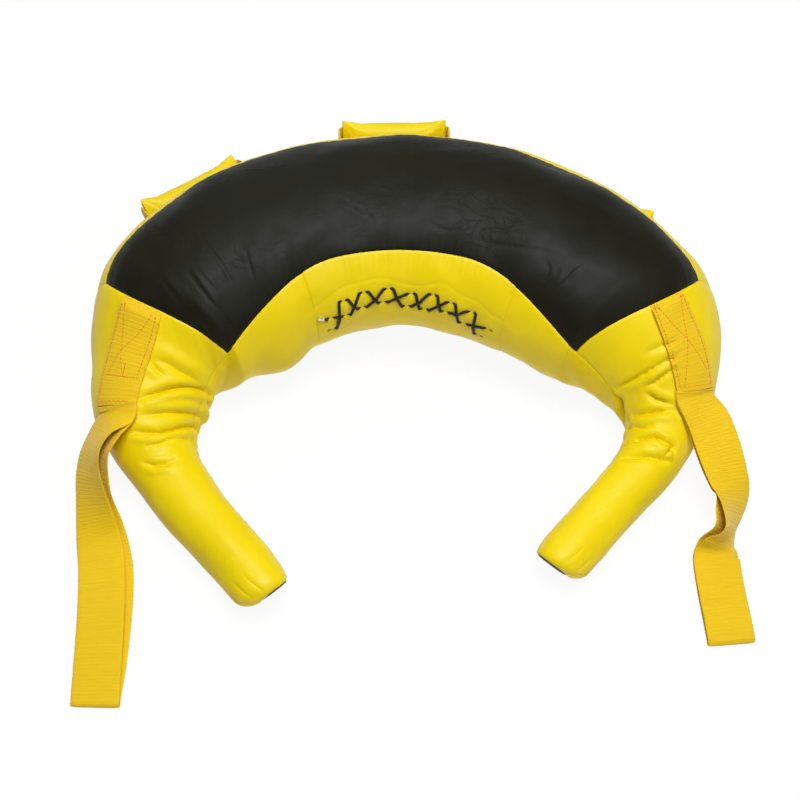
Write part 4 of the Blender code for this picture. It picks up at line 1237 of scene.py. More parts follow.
# Its slots and its stitched lines: millimetres of station, and angles.
UPPER_SLOTS = (
    (-99.8, 172.0), (-79.0, 161.0), (-49.5, 158.5), (-16.0, 157.5), (15.0, 161.5), (45.5, 160.5),
    (71.8, 163.5), (102.0, 167.0), (129.8, 176.0),
)
LOWER_SLOTS = (
    (-99.8, 183.5), (-78.0, 172.5), (-53.5, 169.5), (-24.0, 167.5), (9.5, 171.5), (34.5, 173.0),
    (65.0, 171.5), (92.5, 178.5), (116.0, 186.5),
)
TOP_LINE = (
    (-120.0, 161.0), (-99.0, 156.0), (-77.0, 152.0), (-58.0, 151.5), (-30.0, 150.0), (-12.0, 151.0),
    (7.0, 154.5), (29.0, 155.0), (44.0, 153.0), (55.0, 151.0), (68.0, 153.0), (84.0, 156.5),
    (110.0, 158.0), (131.0, 163.0), (147.0, 164.5),
)
LOW_LINE = (
    (-118.0, 197.0), (-96.0, 190.0), (-70.0, 182.0), (-40.0, 179.0), (-8.0, 179.0), (25.0, 181.0),
    (60.0, 182.5), (90.0, 187.0), (118.0, 194.0), (144.0, 200.0),
)


@dataclass
class LacedClosure:
    """The centre panel with its punched slots, the tongue, the lace and its metal tip."""

    cover: Cover
    lace_look: bpy.types.Material
    tip_look: bpy.types.Material
    thread: bpy.types.Material
    step: float = 0.00115
    roll: float = 0.0014
    end_ease: float = 0.006
    hole: Pair = (0.0019, 0.0015)
    hole_space: float = 0.0031
    hole_pull: Pair = (0.0010, 0.0042)
    line_pull: Pair = (0.0006, 0.0004)
    line_reach: float = 0.0014
    tongue_span: Pair = (-0.108, 0.138)
    tongue_overlap: float = 6.0
    tongue_depth: float = 0.0050
    lace_radius: float = 0.0014
    lace_rise: Pair = (1.1, 3.3)
    crimp: Triple = (0.0016, 0.0065, 0.0032)
    crimp_cuts: Triple = (0.0010, 0.0016, 0.0022)
    crimp_press: float = 0.82

    def along(self, row: tuple[Pair, ...], fine: int) -> tuple[Array, Array]:
        """Stations and angles of a smooth line through a row of places."""
        spots = curved(np.array(row), fine)
        return spots[:, 0] * MM, spots[:, 1]

    def dimple(self, station: Array, angle: Array) -> Array:
        """How far the holes and the stitched lines pull the leather in.

        Args:
            station: Stations of the places.
            angle: Their angles.

        Returns:
            Heights in metres, below zero.
        """
        surface = self.cover.shape.surface
        flat = surface(station, angle).reshape(-1, 3)
        pull = np.zeros(len(flat))
        for row in (UPPER_SLOTS, LOWER_SLOTS):
            spots = np.array(row)
            holes = surface(spots[:, 0] * MM, spots[:, 1])
            square = ((flat[:, None] - holes) ** 2).sum(axis=2)
            pull -= self.hole_pull[0] * np.exp(-square / self.hole_pull[1] ** 2).sum(axis=1)
        for row, deep in zip((TOP_LINE, LOW_LINE), self.line_pull):
            distance = nearest_on(flat, surface(*self.along(row, 6)))[0]
            pull -= deep * np.exp(-distance / self.line_reach)
        return pull.reshape(station.shape)

    def spot(self, station: Array, angle: Array, height: Array | float) -> Array:
        """Points at a height over the dressed leather."""
        return self.cover.place(station, angle, height + self.dimple(station, angle))

    def build(self) -> None:
        """Builds every piece of the closure."""
        self.panel()
        self.tongue()
        self.lace()
        self.seams()

    def panel(self) -> None:
        """The centre panel, punched at each lace hole."""
        cover, shape = self.cover, self.cover.shape
        half = cover.seam_gap / 2.0
        fine = replace(cover, step=self.step, roll=self.roll)
        span = (-shape.closure[0] + half, shape.closure[1] - half)
        seams = (shape.inner_seam, steady(shape.low_turns[1]))
        s, angle, depth, gaps = fine.spread(span, *seams, False, (Edge.TURNED,) * 4)
        gaps[:2] += self.end_ease
        s, angle, missing = self.punched(s, angle)
        points = cover.place(s, angle, self.dimple(s, angle) - depth, gaps)
        faces = grid_faces(*s.shape)[~missing.ravel()]
        used, packed = np.unique(faces, return_inverse=True)
        quads = packed.reshape(-1, 4)[:, ::-1]
        item = add_mesh("laced_panel", points.reshape(-1, 3)[used], quads, cover.yellow)
        thicken(item, cover.wall)
        settle(item, "bag", "leather_yellow", "inner_panel_center")

    def rates(self, spot: Pair) -> Pair:
        """Metres of leather for a metre of station and for a degree of angle at a slot."""
        slopes = self.cover.shape.slopes(np.array([spot[0] * MM]), np.array([spot[1]]))
        return tuple(float(np.linalg.norm(slope)) for slope in slopes)

    def punched(self, s: Array, angle: Array) -> tuple[Array, Array, Array]:
        """Draws a grid's lines onto the rims of the lace holes.

        Args:
            s: Stations of the grid.
            angle: Angles of the grid.

        Returns:
            The moved stations and angles, and which faces fall into a hole.
        """
        rows, columns = s.shape
        missing = np.zeros((rows - 1, columns - 1), bool)
        rim, core = 0.95, 0.3
        for station, turn in UPPER_SLOTS + LOWER_SLOTS:
            rate_s, rate_a = self.rates((station, turn))
            for way in (-1.0, 1.0):
                centre = station * MM + way * self.hole_space / rate_s
                u = (s - centre) * rate_s / self.hole[0]
                v = (angle - turn) * rate_a / self.hole[1]
                inside = np.hypot(u, v)
                face_u, face_v = ((w[:-1, :-1] + w[1:, 1:]) / 2.0 for w in (u, v))
                cut = np.hypot(face_u, face_v) < rim
                missing |= cut
                near = np.zeros((rows, columns), bool)
                for i, j in ((0, 0), (0, 1), (1, 0), (1, 1)):
                    near[i : rows - 1 + i, j : columns - 1 + j] |= cut
                near &= inside > core
                scale = np.where(near, 1.0 / np.maximum(inside, core), 1.0)
                s = centre + (s - centre) * scale
                angle = turn + (angle - turn) * scale
        return s, angle, missing

    def tongue(self) -> None:
        """The leather tongue behind the slots."""
        rows, columns = 120, 16
        station = np.linspace(*self.tongue_span, rows)
        low = np.interp(station, *self.along(UPPER_SLOTS, 8)) - self.tongue_overlap
        high = np.interp(station, *self.along(LOWER_SLOTS, 8)) + self.tongue_overlap
        share = np.linspace(0.0, 1.0, columns)
        angle = low[:, None] + share * (high - low)[:, None]
        points = self.spot(station[:, None] + np.zeros(columns), angle, -self.tongue_depth)
        item = skin("closure_tongue_leather", points, self.cover.wall, self.cover.yellow)
        settle(item, "bag", "leather_yellow", "closure_tongue")

    def pass_through(self, spot: Pair, way: float) -> list[Triple]:
        """Lace places through one pair of holes.

        Args:
            spot: Place of the pair.
            way: Direction of travel, 1 to the right and -1 to the left.

        Returns:
            Station, angle and height of each place, in the order of travel.
        """
        rate, radius = self.rates(spot)[0], self.lace_radius
        over, beneath = radius + 0.0002, -(self.cover.wall + radius + 0.0007)
        half = (
            (self.hole_space + 0.0014, over),
            (self.hole_space + 0.0003, over * 0.2),
            (self.hole_space - 0.0016, beneath),
        )
        spots = [(-x, height) for x, height in half] + [(0.0, beneath - 0.0002)] + list(half[::-1])
        return [(spot[0] * MM + way * x / rate, spot[1], height) for x, height in spots]

    @staticmethod
    def strand(first: Triple, last: Triple, crest: float) -> list[Triple]:
        """Places of a free strand between two holes, highest in its middle.

        Args:
            first: Station, angle and height where it leaves a hole.
            last: The same where it enters the next one.
            crest: Height of its middle.

        Returns:
            Three places on it.
        """
        low = 0.00125 + 0.35 * (crest - 0.00125)
        return [
            (first[0] + share * (last[0] - first[0]), first[1] + share * (last[1] - first[1]), height)
            for share, height in ((0.22, low), (0.5, crest), (0.78, low))
        ]

    def lace(self) -> None:
        """One lace through every hole, out along one strand and back along the other."""
        rows, count, radius = (UPPER_SLOTS, LOWER_SLOTS), len(UPPER_SLOTS), self.lace_radius
        route: list[Triple] = []
        for index in range(count):
            here = self.pass_through(rows[index % 2][index], 1.0)
            if route:
                route += self.strand(route[-1], here[0], radius * self.lace_rise[0])
            route += here
        station, turn, _ = route[0]
        route.insert(0, (station - 0.0042, turn - 1.2, radius + 0.0003))
        # The lace turns back under the last pair of holes, and ends under the first.
        route = route[:-3]
        for index in reversed(range(count)):
            here = self.pass_through(rows[(index + 1) % 2][index], -1.0)
            if index == count - 1:
                here = here[3:]
            else:
                route += self.strand(route[-1], here[0], radius * self.lace_rise[1])
            route += here
        points = self.spot(*np.array(route[:-3]).T)
        line = resampled(curved(points, 8), 0.0007)
        item = tube("lace_cord", line, radius, 12, self.lace_look)
        settle(item, "bag", "lace", "lace")
        self.tip(line[0], unit(line[0] - line[3]))

    def tip(self, start: Array, away: Array) -> None:
        """The crimped metal end, turned from a cylinder with pressed-in rings.

        Args:
            start: The lace's end.
            away: Direction out of it.
        """
        deselect()
        radius, length, reach = self.crimp
        along, middle = Vector(away), Vector(start + away * reach)
        turn = along.to_track_quat("Z", "Y").to_euler()
        bpy.ops.mesh.primitive_cylinder_add(
            vertices=20, radius=radius, depth=length, location=middle, rotation=turn
        )
        item = bpy.context.object
        item.name = "lace_crimp"
        bpy.ops.object.transform_apply(location=True, rotation=True)
        bm = bmesh.new()
        bm.from_mesh(item.data)
        for offset in (*(-cut for cut in reversed(self.crimp_cuts)), *self.crimp_cuts):
            geometry = bm.verts[:] + bm.edges[:] + bm.faces[:]
            bmesh.ops.bisect_plane(bm, geom=geometry, plane_co=middle + along * offset, plane_no=along)
        for vertex in bm.verts:
            run = (vertex.co - middle).dot(along)
            if abs(abs(run) - self.crimp_cuts[1]) < 0.0002:
                axis = middle + along * run
                vertex.co = axis + (vertex.co - axis) * self.crimp_press
        bmesh.ops.recalc_face_normals(bm, faces=bm.faces[:])
        bm.to_mesh(item.data)
        bm.free()
        bevel = item.modifiers.new("edge", "BEVEL")
        bevel.width = 0.0002
        bevel.segments = 2
        apply_modifiers(item)
        item.data.materials.clear()
        item.data.materials.append(self.tip_look)
        item.data.shade_smooth()
        settle(item, "bag", "crimp", "lace_tip")

    def seams(self) -> None:
        """The stitched lines over and under the lacing."""
        rows = Stitching("closure_stitches", self.thread, "leather_yellow", 0.0024, 0.0030, 0.0004)
        for row in (TOP_LINE, LOW_LINE):
            spots = self.along(row, 8)
            rows.run(self.spot(*spots, 0.0001), self.cover.shape.normal(*spots))
        rows.build()


def tube(
    name: str, line: Array, radius: float, sides: int, material: bpy.types.Material
) -> bpy.types.Object:
    """A round cord along a line of points, with rounded ends and a UV map round and along it.

    Args:
        name: The piece's name.
        line: Points of its middle line.
        radius: Half its thickness.
        sides: Points round it.
        material: Its finish.

    Returns:
        The cord as one closed mesh.
    """
    tangent = unit(np.gradient(line, axis=0))
    normal = np.cross(tangent[0], [0.3, 0.2, 1.0])
    frames = []
    for way in tangent:
        normal = unit(normal - way * (normal @ way))
        frames.append((normal, np.cross(way, normal)))
    caps = ((-0.8, 0.45), (-0.6, 0.8), (0.0, 1.0))
    last = len(line) - 1
    stations = [(0, push, size) for push, size in caps]
    stations += [(i, 0.0, 1.0) for i in range(1, last)]
    stations += [(last, -push, size) for push, size in reversed(caps)]
    run, turns = run_along(line), np.arange(sides) / sides
    spin = math.tau * turns[:, None]
    rings, places = [], []
    for i, push, size in stations:
        across, up = frames[i]
        middle = line[i] + tangent[i] * push * radius
        rings.append(middle + radius * size * (np.cos(spin) * across + np.sin(spin) * up))
        places.append(np.stack([turns, np.full(sides, run[i])], axis=1))
    return ringed(name, np.array(rings), np.array(places), material)


# Straps and handles


def band(
    name: str,
    centres: Array,
    wides: Array,
    half: Array,
    thick: float,
    rib: Pair,
    material: bpy.types.Material,
    arch: Array | float = 0.0,
) -> bpy.types.Object:
    """A woven band with ribs across it and soft edges, closed at both ends.

    Args:
        name: The piece's name.
        centres: Points on the band's middle line.
        wides: Direction of its width at each point.
        half: Half width at each point.
        thick: Thickness between the ribs.
        rib: Height and pitch of the ribs.
        material: Its finish, which reads the UV map in metres.
        arch: How far the band's edges lie below its middle line.

    Returns:
        The band as one closed mesh.
    """
    run = unit(np.gradient(centres, axis=0))
    wide = unit(wides - run * (wides * run).sum(axis=1, keepdims=True))
    over = np.cross(run, wide)
    length = run_along(centres)
    across = -np.cos(np.linspace(0.0, math.pi, 17))
    profile = np.sqrt(1.0 - np.abs(across) ** 8)
    ring = np.concatenate([across, across[-2:0:-1]])
    face = np.concatenate([profile, -profile[-2:0:-1]])
    beat = math.tau * length / rib[1]
    swell = thick / 2.0 + rib[0] * np.cos(beat)[:, None] * face**2
    scallop = half * (1.0 + 0.006 * np.cos(beat + 1.0))
    bowed = np.broadcast_to(arch, length.shape)[:, None] * ring**2
    points = centres[:, None] + wide[:, None] * (scallop[:, None] * ring)[..., None]
    points = points + over[:, None] * (swell * face - bowed)[..., None]
    places = np.stack(np.broadcast_arrays(half[:, None] * ring, length[:, None]), axis=-1)
    return ringed(name, points, places, material)


@dataclass(frozen=True)
class StrapPlan:
    """Measures of one strap.

    Each row of a layer's route holds x and y from the bar tack, the height, and the turn and
    the roll of the band's width in degrees. A seam is a line of shares of the sewn length and
    of the half width.
    """

    start: float
    end: float
    angles: Triple
    upper: tuple[tuple[float, ...], ...]
    lower: tuple[tuple[float, ...], ...]
    seams: tuple[tuple[Pair, ...], ...]
    bar_tack: Triple | None
    tuck: float


LEFT_STRAP = StrapPlan(
    0.2645,
    0.3375,
    (83.5, 76.0, 57.0),
    (
        (-0.0130, -0.0230, 0.0705, -34.0, 40.0),
        (-0.0211, -0.0376, 0.0620, -37.0, 45.0),
        (-0.0239, -0.0531, 0.0480, -29.0, 40.0),
        (-0.0218, -0.0714, 0.0310, -18.0, 29.0),
        (-0.0171, -0.0948, 0.0178, -7.0, 13.0),
        (-0.0113, -0.1203, 0.0144, 0.0, 1.0),
        (-0.0082, -0.1448, 0.0138, 0.0, 0.0),
        (-0.0059, -0.1742, 0.0130, 1.0, 0.0),
        (-0.0044, -0.2127, 0.0105, 3.0, 0.0),
        (-0.0036, -0.2462, 0.0068, 7.0, 0.0),
    ),
    (
        (-0.0071, -0.0243, 0.0655, -34.0, 40.0),
        (-0.0145, -0.0382, 0.0570, -36.0, 44.0),
        (-0.0174, -0.0532, 0.0430, -29.0, 40.0),
        (-0.0180, -0.0692, 0.0270, -18.0, 29.0),
        (-0.0122, -0.0922, 0.0125, -7.0, 13.0),
        (-0.0066, -0.1154, 0.0045, 0.0, 1.0),
        (-0.0034, -0.1342, 0.0035, 0.0, 0.0),
        (-0.0014, -0.1642, 0.0033, 1.0, 0.0),
        (-0.0014, -0.2073, 0.0026, 3.0, 0.0),
        (-0.0036, -0.2462, 0.0016, 7.0, 0.0),
    ),
    (
        ((0.04, -0.84), (0.5, -0.82), (0.955, -0.84)),
        ((0.05, 0.80), (0.4, 0.78), (0.7, 0.74)),
        ((0.03, -0.70), (0.35, -0.40), (0.56, -0.18), (0.72, 0.08)),
        ((0.05, 0.62), (0.3, 0.20), (0.5, -0.28), (0.72, -0.58)),
        ((0.60, 0.10), (0.735, 0.12)),
        ((0.735, -0.66), (0.74, 0.0), (0.725, 0.82)),
    ),
    (0.975, -0.92, 0.62),
    0.0,
)
RIGHT_STRAP = StrapPlan(
    0.2615,
    0.3185,
    (83.0, 77.0, 56.0),
    (
        (0.0118, -0.0287, 0.0600, 4.0, -4.0),
        (0.0195, -0.0536, 0.0520, 2.0, -4.0),
        (0.0258, -0.0782, 0.0440, 10.0, -17.0),
        (0.0278, -0.0899, 0.0400, 20.0, -31.0),
        (0.0278, -0.1032, 0.0355, 31.0, -43.0),
        (0.0246, -0.1197, 0.0280, 43.0, -52.0),
        (0.0173, -0.1292, 0.0200, 15.0, -27.0),
        (0.0134, -0.1390, 0.0145, 0.0, 0.0),
        (0.0143, -0.1676, 0.0128, 2.0, 0.0),
        (0.0170, -0.1971, 0.0105, 4.0, 0.0),
        (0.0185, -0.2112, 0.0074, 4.0, 0.0),
    ),
    (
        (0.0118, -0.0290, 0.0560, 4.0, -4.0),
        (0.0198, -0.0533, 0.0465, 2.0, -4.0),
        (0.0276, -0.0752, 0.0370, 8.0, -14.0),
        (0.0296, -0.0874, 0.0320, 17.0, -28.0),
        (0.0265, -0.1003, 0.0265, 23.0, -35.0),
        (0.0226, -0.1136, 0.0200, 28.0, -42.0),
        (0.0151, -0.1245, 0.0110, 12.0, -22.0),
        (0.0145, -0.1360, 0.0048, 0.0, 0.0),
        (0.0153, -0.1651, 0.0035, 2.0, 0.0),
        (0.0174, -0.1956, 0.0030, 4.0, 0.0),
        (0.0185, -0.2112, 0.0018, 4.0, 0.0),
    ),
    (
        ((0.05, -0.84), (0.5, -0.83), (0.97, -0.82)),
        ((0.05, 0.82), (0.5, 0.80), (0.97, 0.80)),
        ((0.06, -0.72), (0.3, -0.30), (0.6, 0.22), (0.84, 0.62)),
        ((0.05, 0.70), (0.3, 0.42), (0.55, 0.14), (0.78, -0.30), (0.97, -0.62)),
        ((0.97, -0.80), (0.975, 0.0), (0.97, 0.80)),
    ),
    None,
    0.22,
)


@dataclass
class Strap:
    """A webbing strap: two layers sewn flat to an arm, and the free loop of the same band."""

    side: Side
    plan: StrapPlan
    cover: Cover
    webbing: bpy.types.Material
    thread: bpy.types.Material
    width: float = 0.040
    thick: float = 0.0019
    gap: float = 0.0008
    layer_gap: float = 0.0004
    rib: Pair = (0.00010, 0.0031)
    step: float = 0.00052
    flat_by: float = 0.030
    loop_gap: float = 0.00015
    loop_lead: float = 0.007
    floor_gap: float = 0.0004
    selvedge: float = 0.0005
    emerge: Pair = (0.12, 0.09)
    tack_pitch: float = 0.0021
    thread_rise: float = 0.00012

    def middle_angle(self, share: Array) -> Array:
        """Angle of the sewn part's middle line, a parabola through its three angles."""
        first, middle, last = self.plan.angles
        bend = 2.0 * (first + last - 2.0 * middle)
        return first + (4.0 * middle - 3.0 * first - last) * share + bend * share * share

    def crossing(self, across: Array, shares: Array, past: Callable[..., Array]) -> Array:
        """Share of the sewn length at which each column of the band crosses a line.

        Args:
            across: The columns, as shares of the half width.
            shares: Shares of the sewn length that are tried.
            past: How far past the line stations and angles are.

        Returns:
            One share for each column.
        """
        grid, ways = np.meshgrid(shares, across, indexing="ij")
        return np.array([np.interp(0.0, column, shares) for column in past(*self.spot(grid, ways)).T])

    def begin(self, across: Array) -> Array:
        """Share of the sewn length at which the band comes out from under the black panel."""
        shape = self.cover.shape

        def past(station: Array, angle: Array) -> Array:
            """Distance past the black panel's cross seam."""
            seam = shape.bowed(np.full(angle.shape, shape.panel_end * self.side.value), angle)
            return np.abs(station) - np.abs(seam) - self.cover.seam_gap

        return self.crossing(across, np.linspace(-0.3, 0.5, 81), past)

    def finish(self, across: Array, level: int) -> Array:
        """Share of the sewn length at which each column of a layer meets the bar tack's plane."""
        shape = self.cover.shape
        middle, run, _, _ = self.tack()

        def past(station: Array, angle: Array) -> Array:
            """Distance past the plane."""
            points = shape.surface(station, angle) + shape.normal(station, angle) * self.top(level)
            return (points - middle) @ run

        return self.crossing(across, np.linspace(0.9, 1.15, 51), past)

    def spot(self, share: Array, way: Array) -> tuple[Array, Array]:
        """Station and angle at shares of the sewn length and of the half width."""
        shape, sign = self.cover.shape, self.side.value
        way = np.where(way < 0, way * (1.0 - self.plan.tuck * (1.0 - smooth(share))), way)
        span, probe = self.plan.end - self.plan.start, 1e-4
        station = sign * (self.plan.start + share * span)
        middle = self.middle_angle(share)
        along, around = shape.slopes(station, middle)
        turn = (self.middle_angle(share + probe / span) - middle)[..., None] * around
        run = unit(along * sign * probe + turn)
        cross = np.cross(unit(np.cross(around, along)), run) * (way * self.width / 2.0)[..., None]
        rates = np.linalg.norm(along, axis=-1), np.linalg.norm(around, axis=-1)
        lean = (cross * unit(along)).sum(axis=-1) / rates[0]
        return station + lean, middle + (cross * unit(around)).sum(axis=-1) / rates[1]

    def build(self) -> None:
        """Builds the sewn layers, their stitches and the free loop."""
        for level, word in enumerate(("lower", "upper")):
            self.sewn(f"strap_{self.side.word}_{word}_layer", level)
        self.loop()
        self.stitches()

    def top(self, level: float) -> float:
        """Height of a sewn layer's upper face over the leather."""
        return self.gap + (level + 1.0) * self.thick + level * self.layer_gap

    def sewn(self, name: str, level: int) -> None:
        """One of the two layers that are sewn down.

        Args:
            name: The piece's name.
            level: 0 for the lower layer, 1 for the upper one.
        """
        span = self.plan.end - self.plan.start
        across = -np.cos(np.linspace(0.0, math.pi, 33)) * (1.0 - 0.012 * level)
        begin = self.begin(across)
        steps = np.linspace(0.0, 1.0, int(span / self.step))
        share, across = np.meshgrid(steps, across, indexing="ij")
        share = begin + share * (self.finish(across[0], level) - begin)
        station, angle = self.spot(share, across)
        height, pitch = self.rib
        soft = 1.0 - np.abs(across) ** 12
        ribs = height * np.cos(math.tau * share * span / pitch) * soft
        rise = self.top(level) - self.selvedge * (1.0 - soft)
        low, reach = self.emerge
        rise = rise * (low + (1.0 - low) * smooth((share - begin) / reach)) + ribs
        points, normals = self.cover.place(station, angle, rise), self.cover.shape.normal(station, angle)
        places = np.stack([across * self.width / 2.0, share * span], axis=-1)
        item = skin(name, points, self.thick * 0.92, self.webbing, normals, places)
        nodes = (f"strap_{self.side.word}_base",) if level else ()
        settle(item, "bag", "webbing", *nodes)

    def tack(self) -> tuple[Array, Array, Array, Array]:
        """Point at the end of the sewn part, and the band's run, width and normal there."""
        shape = self.cover.shape
        spots = self.spot(np.ones(9), np.linspace(-1.0, 1.0, 9))
        points, normals = shape.surface(*spots), shape.normal(*spots)
        middle, normal = points[4], normals[4]
        width = unit(points[8] - points[0])
        width = width * np.sign(width[0])
        normal = unit(normal - width * (normal @ width))
        run = np.cross(width, normal)
        corners = np.concatenate([points + normals * rise for rise in (self.gap, self.top(1))])
        return middle + run * ((corners - middle) @ run).max(), run, width, normal

    def layer(self, route: tuple[tuple[float, ...], ...], level: int) -> tuple[Array, Array]:
        """One layer of the free loop.

        Args:
            route: Its route in the strap's plan.
            level: 0 for the lower layer, 1 for the upper one.

        Returns:
            Points of its middle line, and the direction of its width at each.
        """
        middle, run, width, _ = self.tack()
        rise = np.array([self.top(level) - self.thick / 2.0])
        end = self.cover.place(*self.spot(np.ones(1), np.zeros(1)), rise)[0]
        start = end + run * ((middle - end) @ run + self.loop_gap)
        rows = [[*start, *width], [*(start + run * self.loop_lead), *width]]
        for x, y, z, turn, roll in route:
            spin, tilt = math.radians(turn), math.radians(roll)
            wide = (math.cos(spin) * math.cos(tilt), math.sin(spin) * math.cos(tilt), math.sin(tilt))
            rows.append([middle[0] + x, middle[1] + y, z, *wide])
        fine = resampled(curved(np.array(rows)), self.step)
        centres = fine[:, :3]
        run = unit(np.gradient(centres, axis=0))
        wide = unit(fine[:, 3:] - run * (fine[:, 3:] * run).sum(axis=1, keepdims=True))
        over = np.cross(run, wide)
        # Where the band would reach below the floor, it is lifted softly.
        reach = np.abs(wide[:, 2]) * self.width / 2.0 + np.abs(over[:, 2]) * self.thick / 2.0
        short = np.maximum(reach + self.floor_gap - centres[:, 2], 0.0)
        soft = 20
        window = np.ones(2 * soft + 1) / (2.0 * soft + 1.0)
        short = np.convolve(np.pad(short, soft, mode="edge"), window, mode="valid")
        return centres + np.array([0.0, 0.0, 1.0]) * short[:, None], wide

    def loop(self) -> None:
        """The free loop: an upper layer, the fold at its end and a lower layer."""
        upper, wide = self.layer(self.plan.upper, 1)
        lower, under = self.layer(self.plan.lower, 0)
        middle = (upper[-1] + lower[-1]) / 2.0
        half = upper[-1] - middle
        out = unit(np.gradient(upper, axis=0)[-1]) * np.linalg.norm(half)
        turns = np.linspace(0.0, math.pi, 16)[1:-1, None]
        share = turns / math.pi
        fold = middle + half * np.cos(turns) + out * np.sin(turns)
        folded = wide[-1] * (1.0 - share) + under[-1] * share
        centres = np.concatenate([upper, fold, lower[::-1]])
        wides = np.concatenate([wide, folded, under[::-1]])
        halves = np.full(len(centres), self.width / 2.0)
        # The loop starts as round as the arm under its bar tack, and soon lies flat.
        sides = self.cover.shape.surface(*self.spot(np.ones(3), np.array([-1.0, 0.0, 1.0])))
        sag = (sides[1] - (sides[0] + sides[2]) / 2.0) @ self.tack()[3]
        steps = np.arange(max(len(upper), len(lower)))
        fade = sag * (1.0 - smooth(steps * self.step / self.flat_by))
        arch = np.concatenate([fade[: len(upper)], np.zeros(len(fold)), -fade[: len(lower)][::-1]])
        body = f"strap_{self.side.word}"
        name = f"{body}_free_loop"
        item = band(name, centres, wides, halves, self.thick, self.rib, self.webbing, arch)
        settle(item, body, "webbing", f"{body}_loop")

    def stitches(self) -> None:
        """The sewn lines, and the bar tack's zig-zag where there is one."""
        name = f"strap_{self.side.word}_stitches"
        rows = Stitching(name, self.thread, "webbing", 0.0024, 0.0030, 0.00072)
        lines = []
        for line in self.plan.seams:
            # A short straight seam is sewn as tightly as the bar tack.
            pitch = self.tack_pitch if len(line) == 2 else rows.pitch
            lines.append((curved(np.array(line, float), 14), pitch))
        if self.plan.bar_tack:
            share, first, last = self.plan.bar_tack
            count, swing = 15, 0.011
            zig = share + swing * (np.arange(count) % 2 * 2.0 - 1.0)
            lines.append((np.stack([zig, np.linspace(first, last, count)], axis=1), self.tack_pitch))
        for line, pitch in lines:
            spots = self.spot(line[:, 0], line[:, 1])
            rise = np.full(len(line), self.top(1) + self.thread_rise)
            rows.run(self.cover.place(*spots, rise), self.cover.shape.normal(*spots), pitch)
        rows.build()


@dataclass(frozen=True)
class HandlePlan:
    """Where a grab handle sits: its share of the crown's half arc and its tilt in degrees."""

    word: str
    share: float
    tilt: float


HANDLE_PLANS = (
    HandlePlan("left", -0.618, -37.0),
    HandlePlan("center", -0.017, -15.0),
    HandlePlan("right", 0.616, -60.0),
)


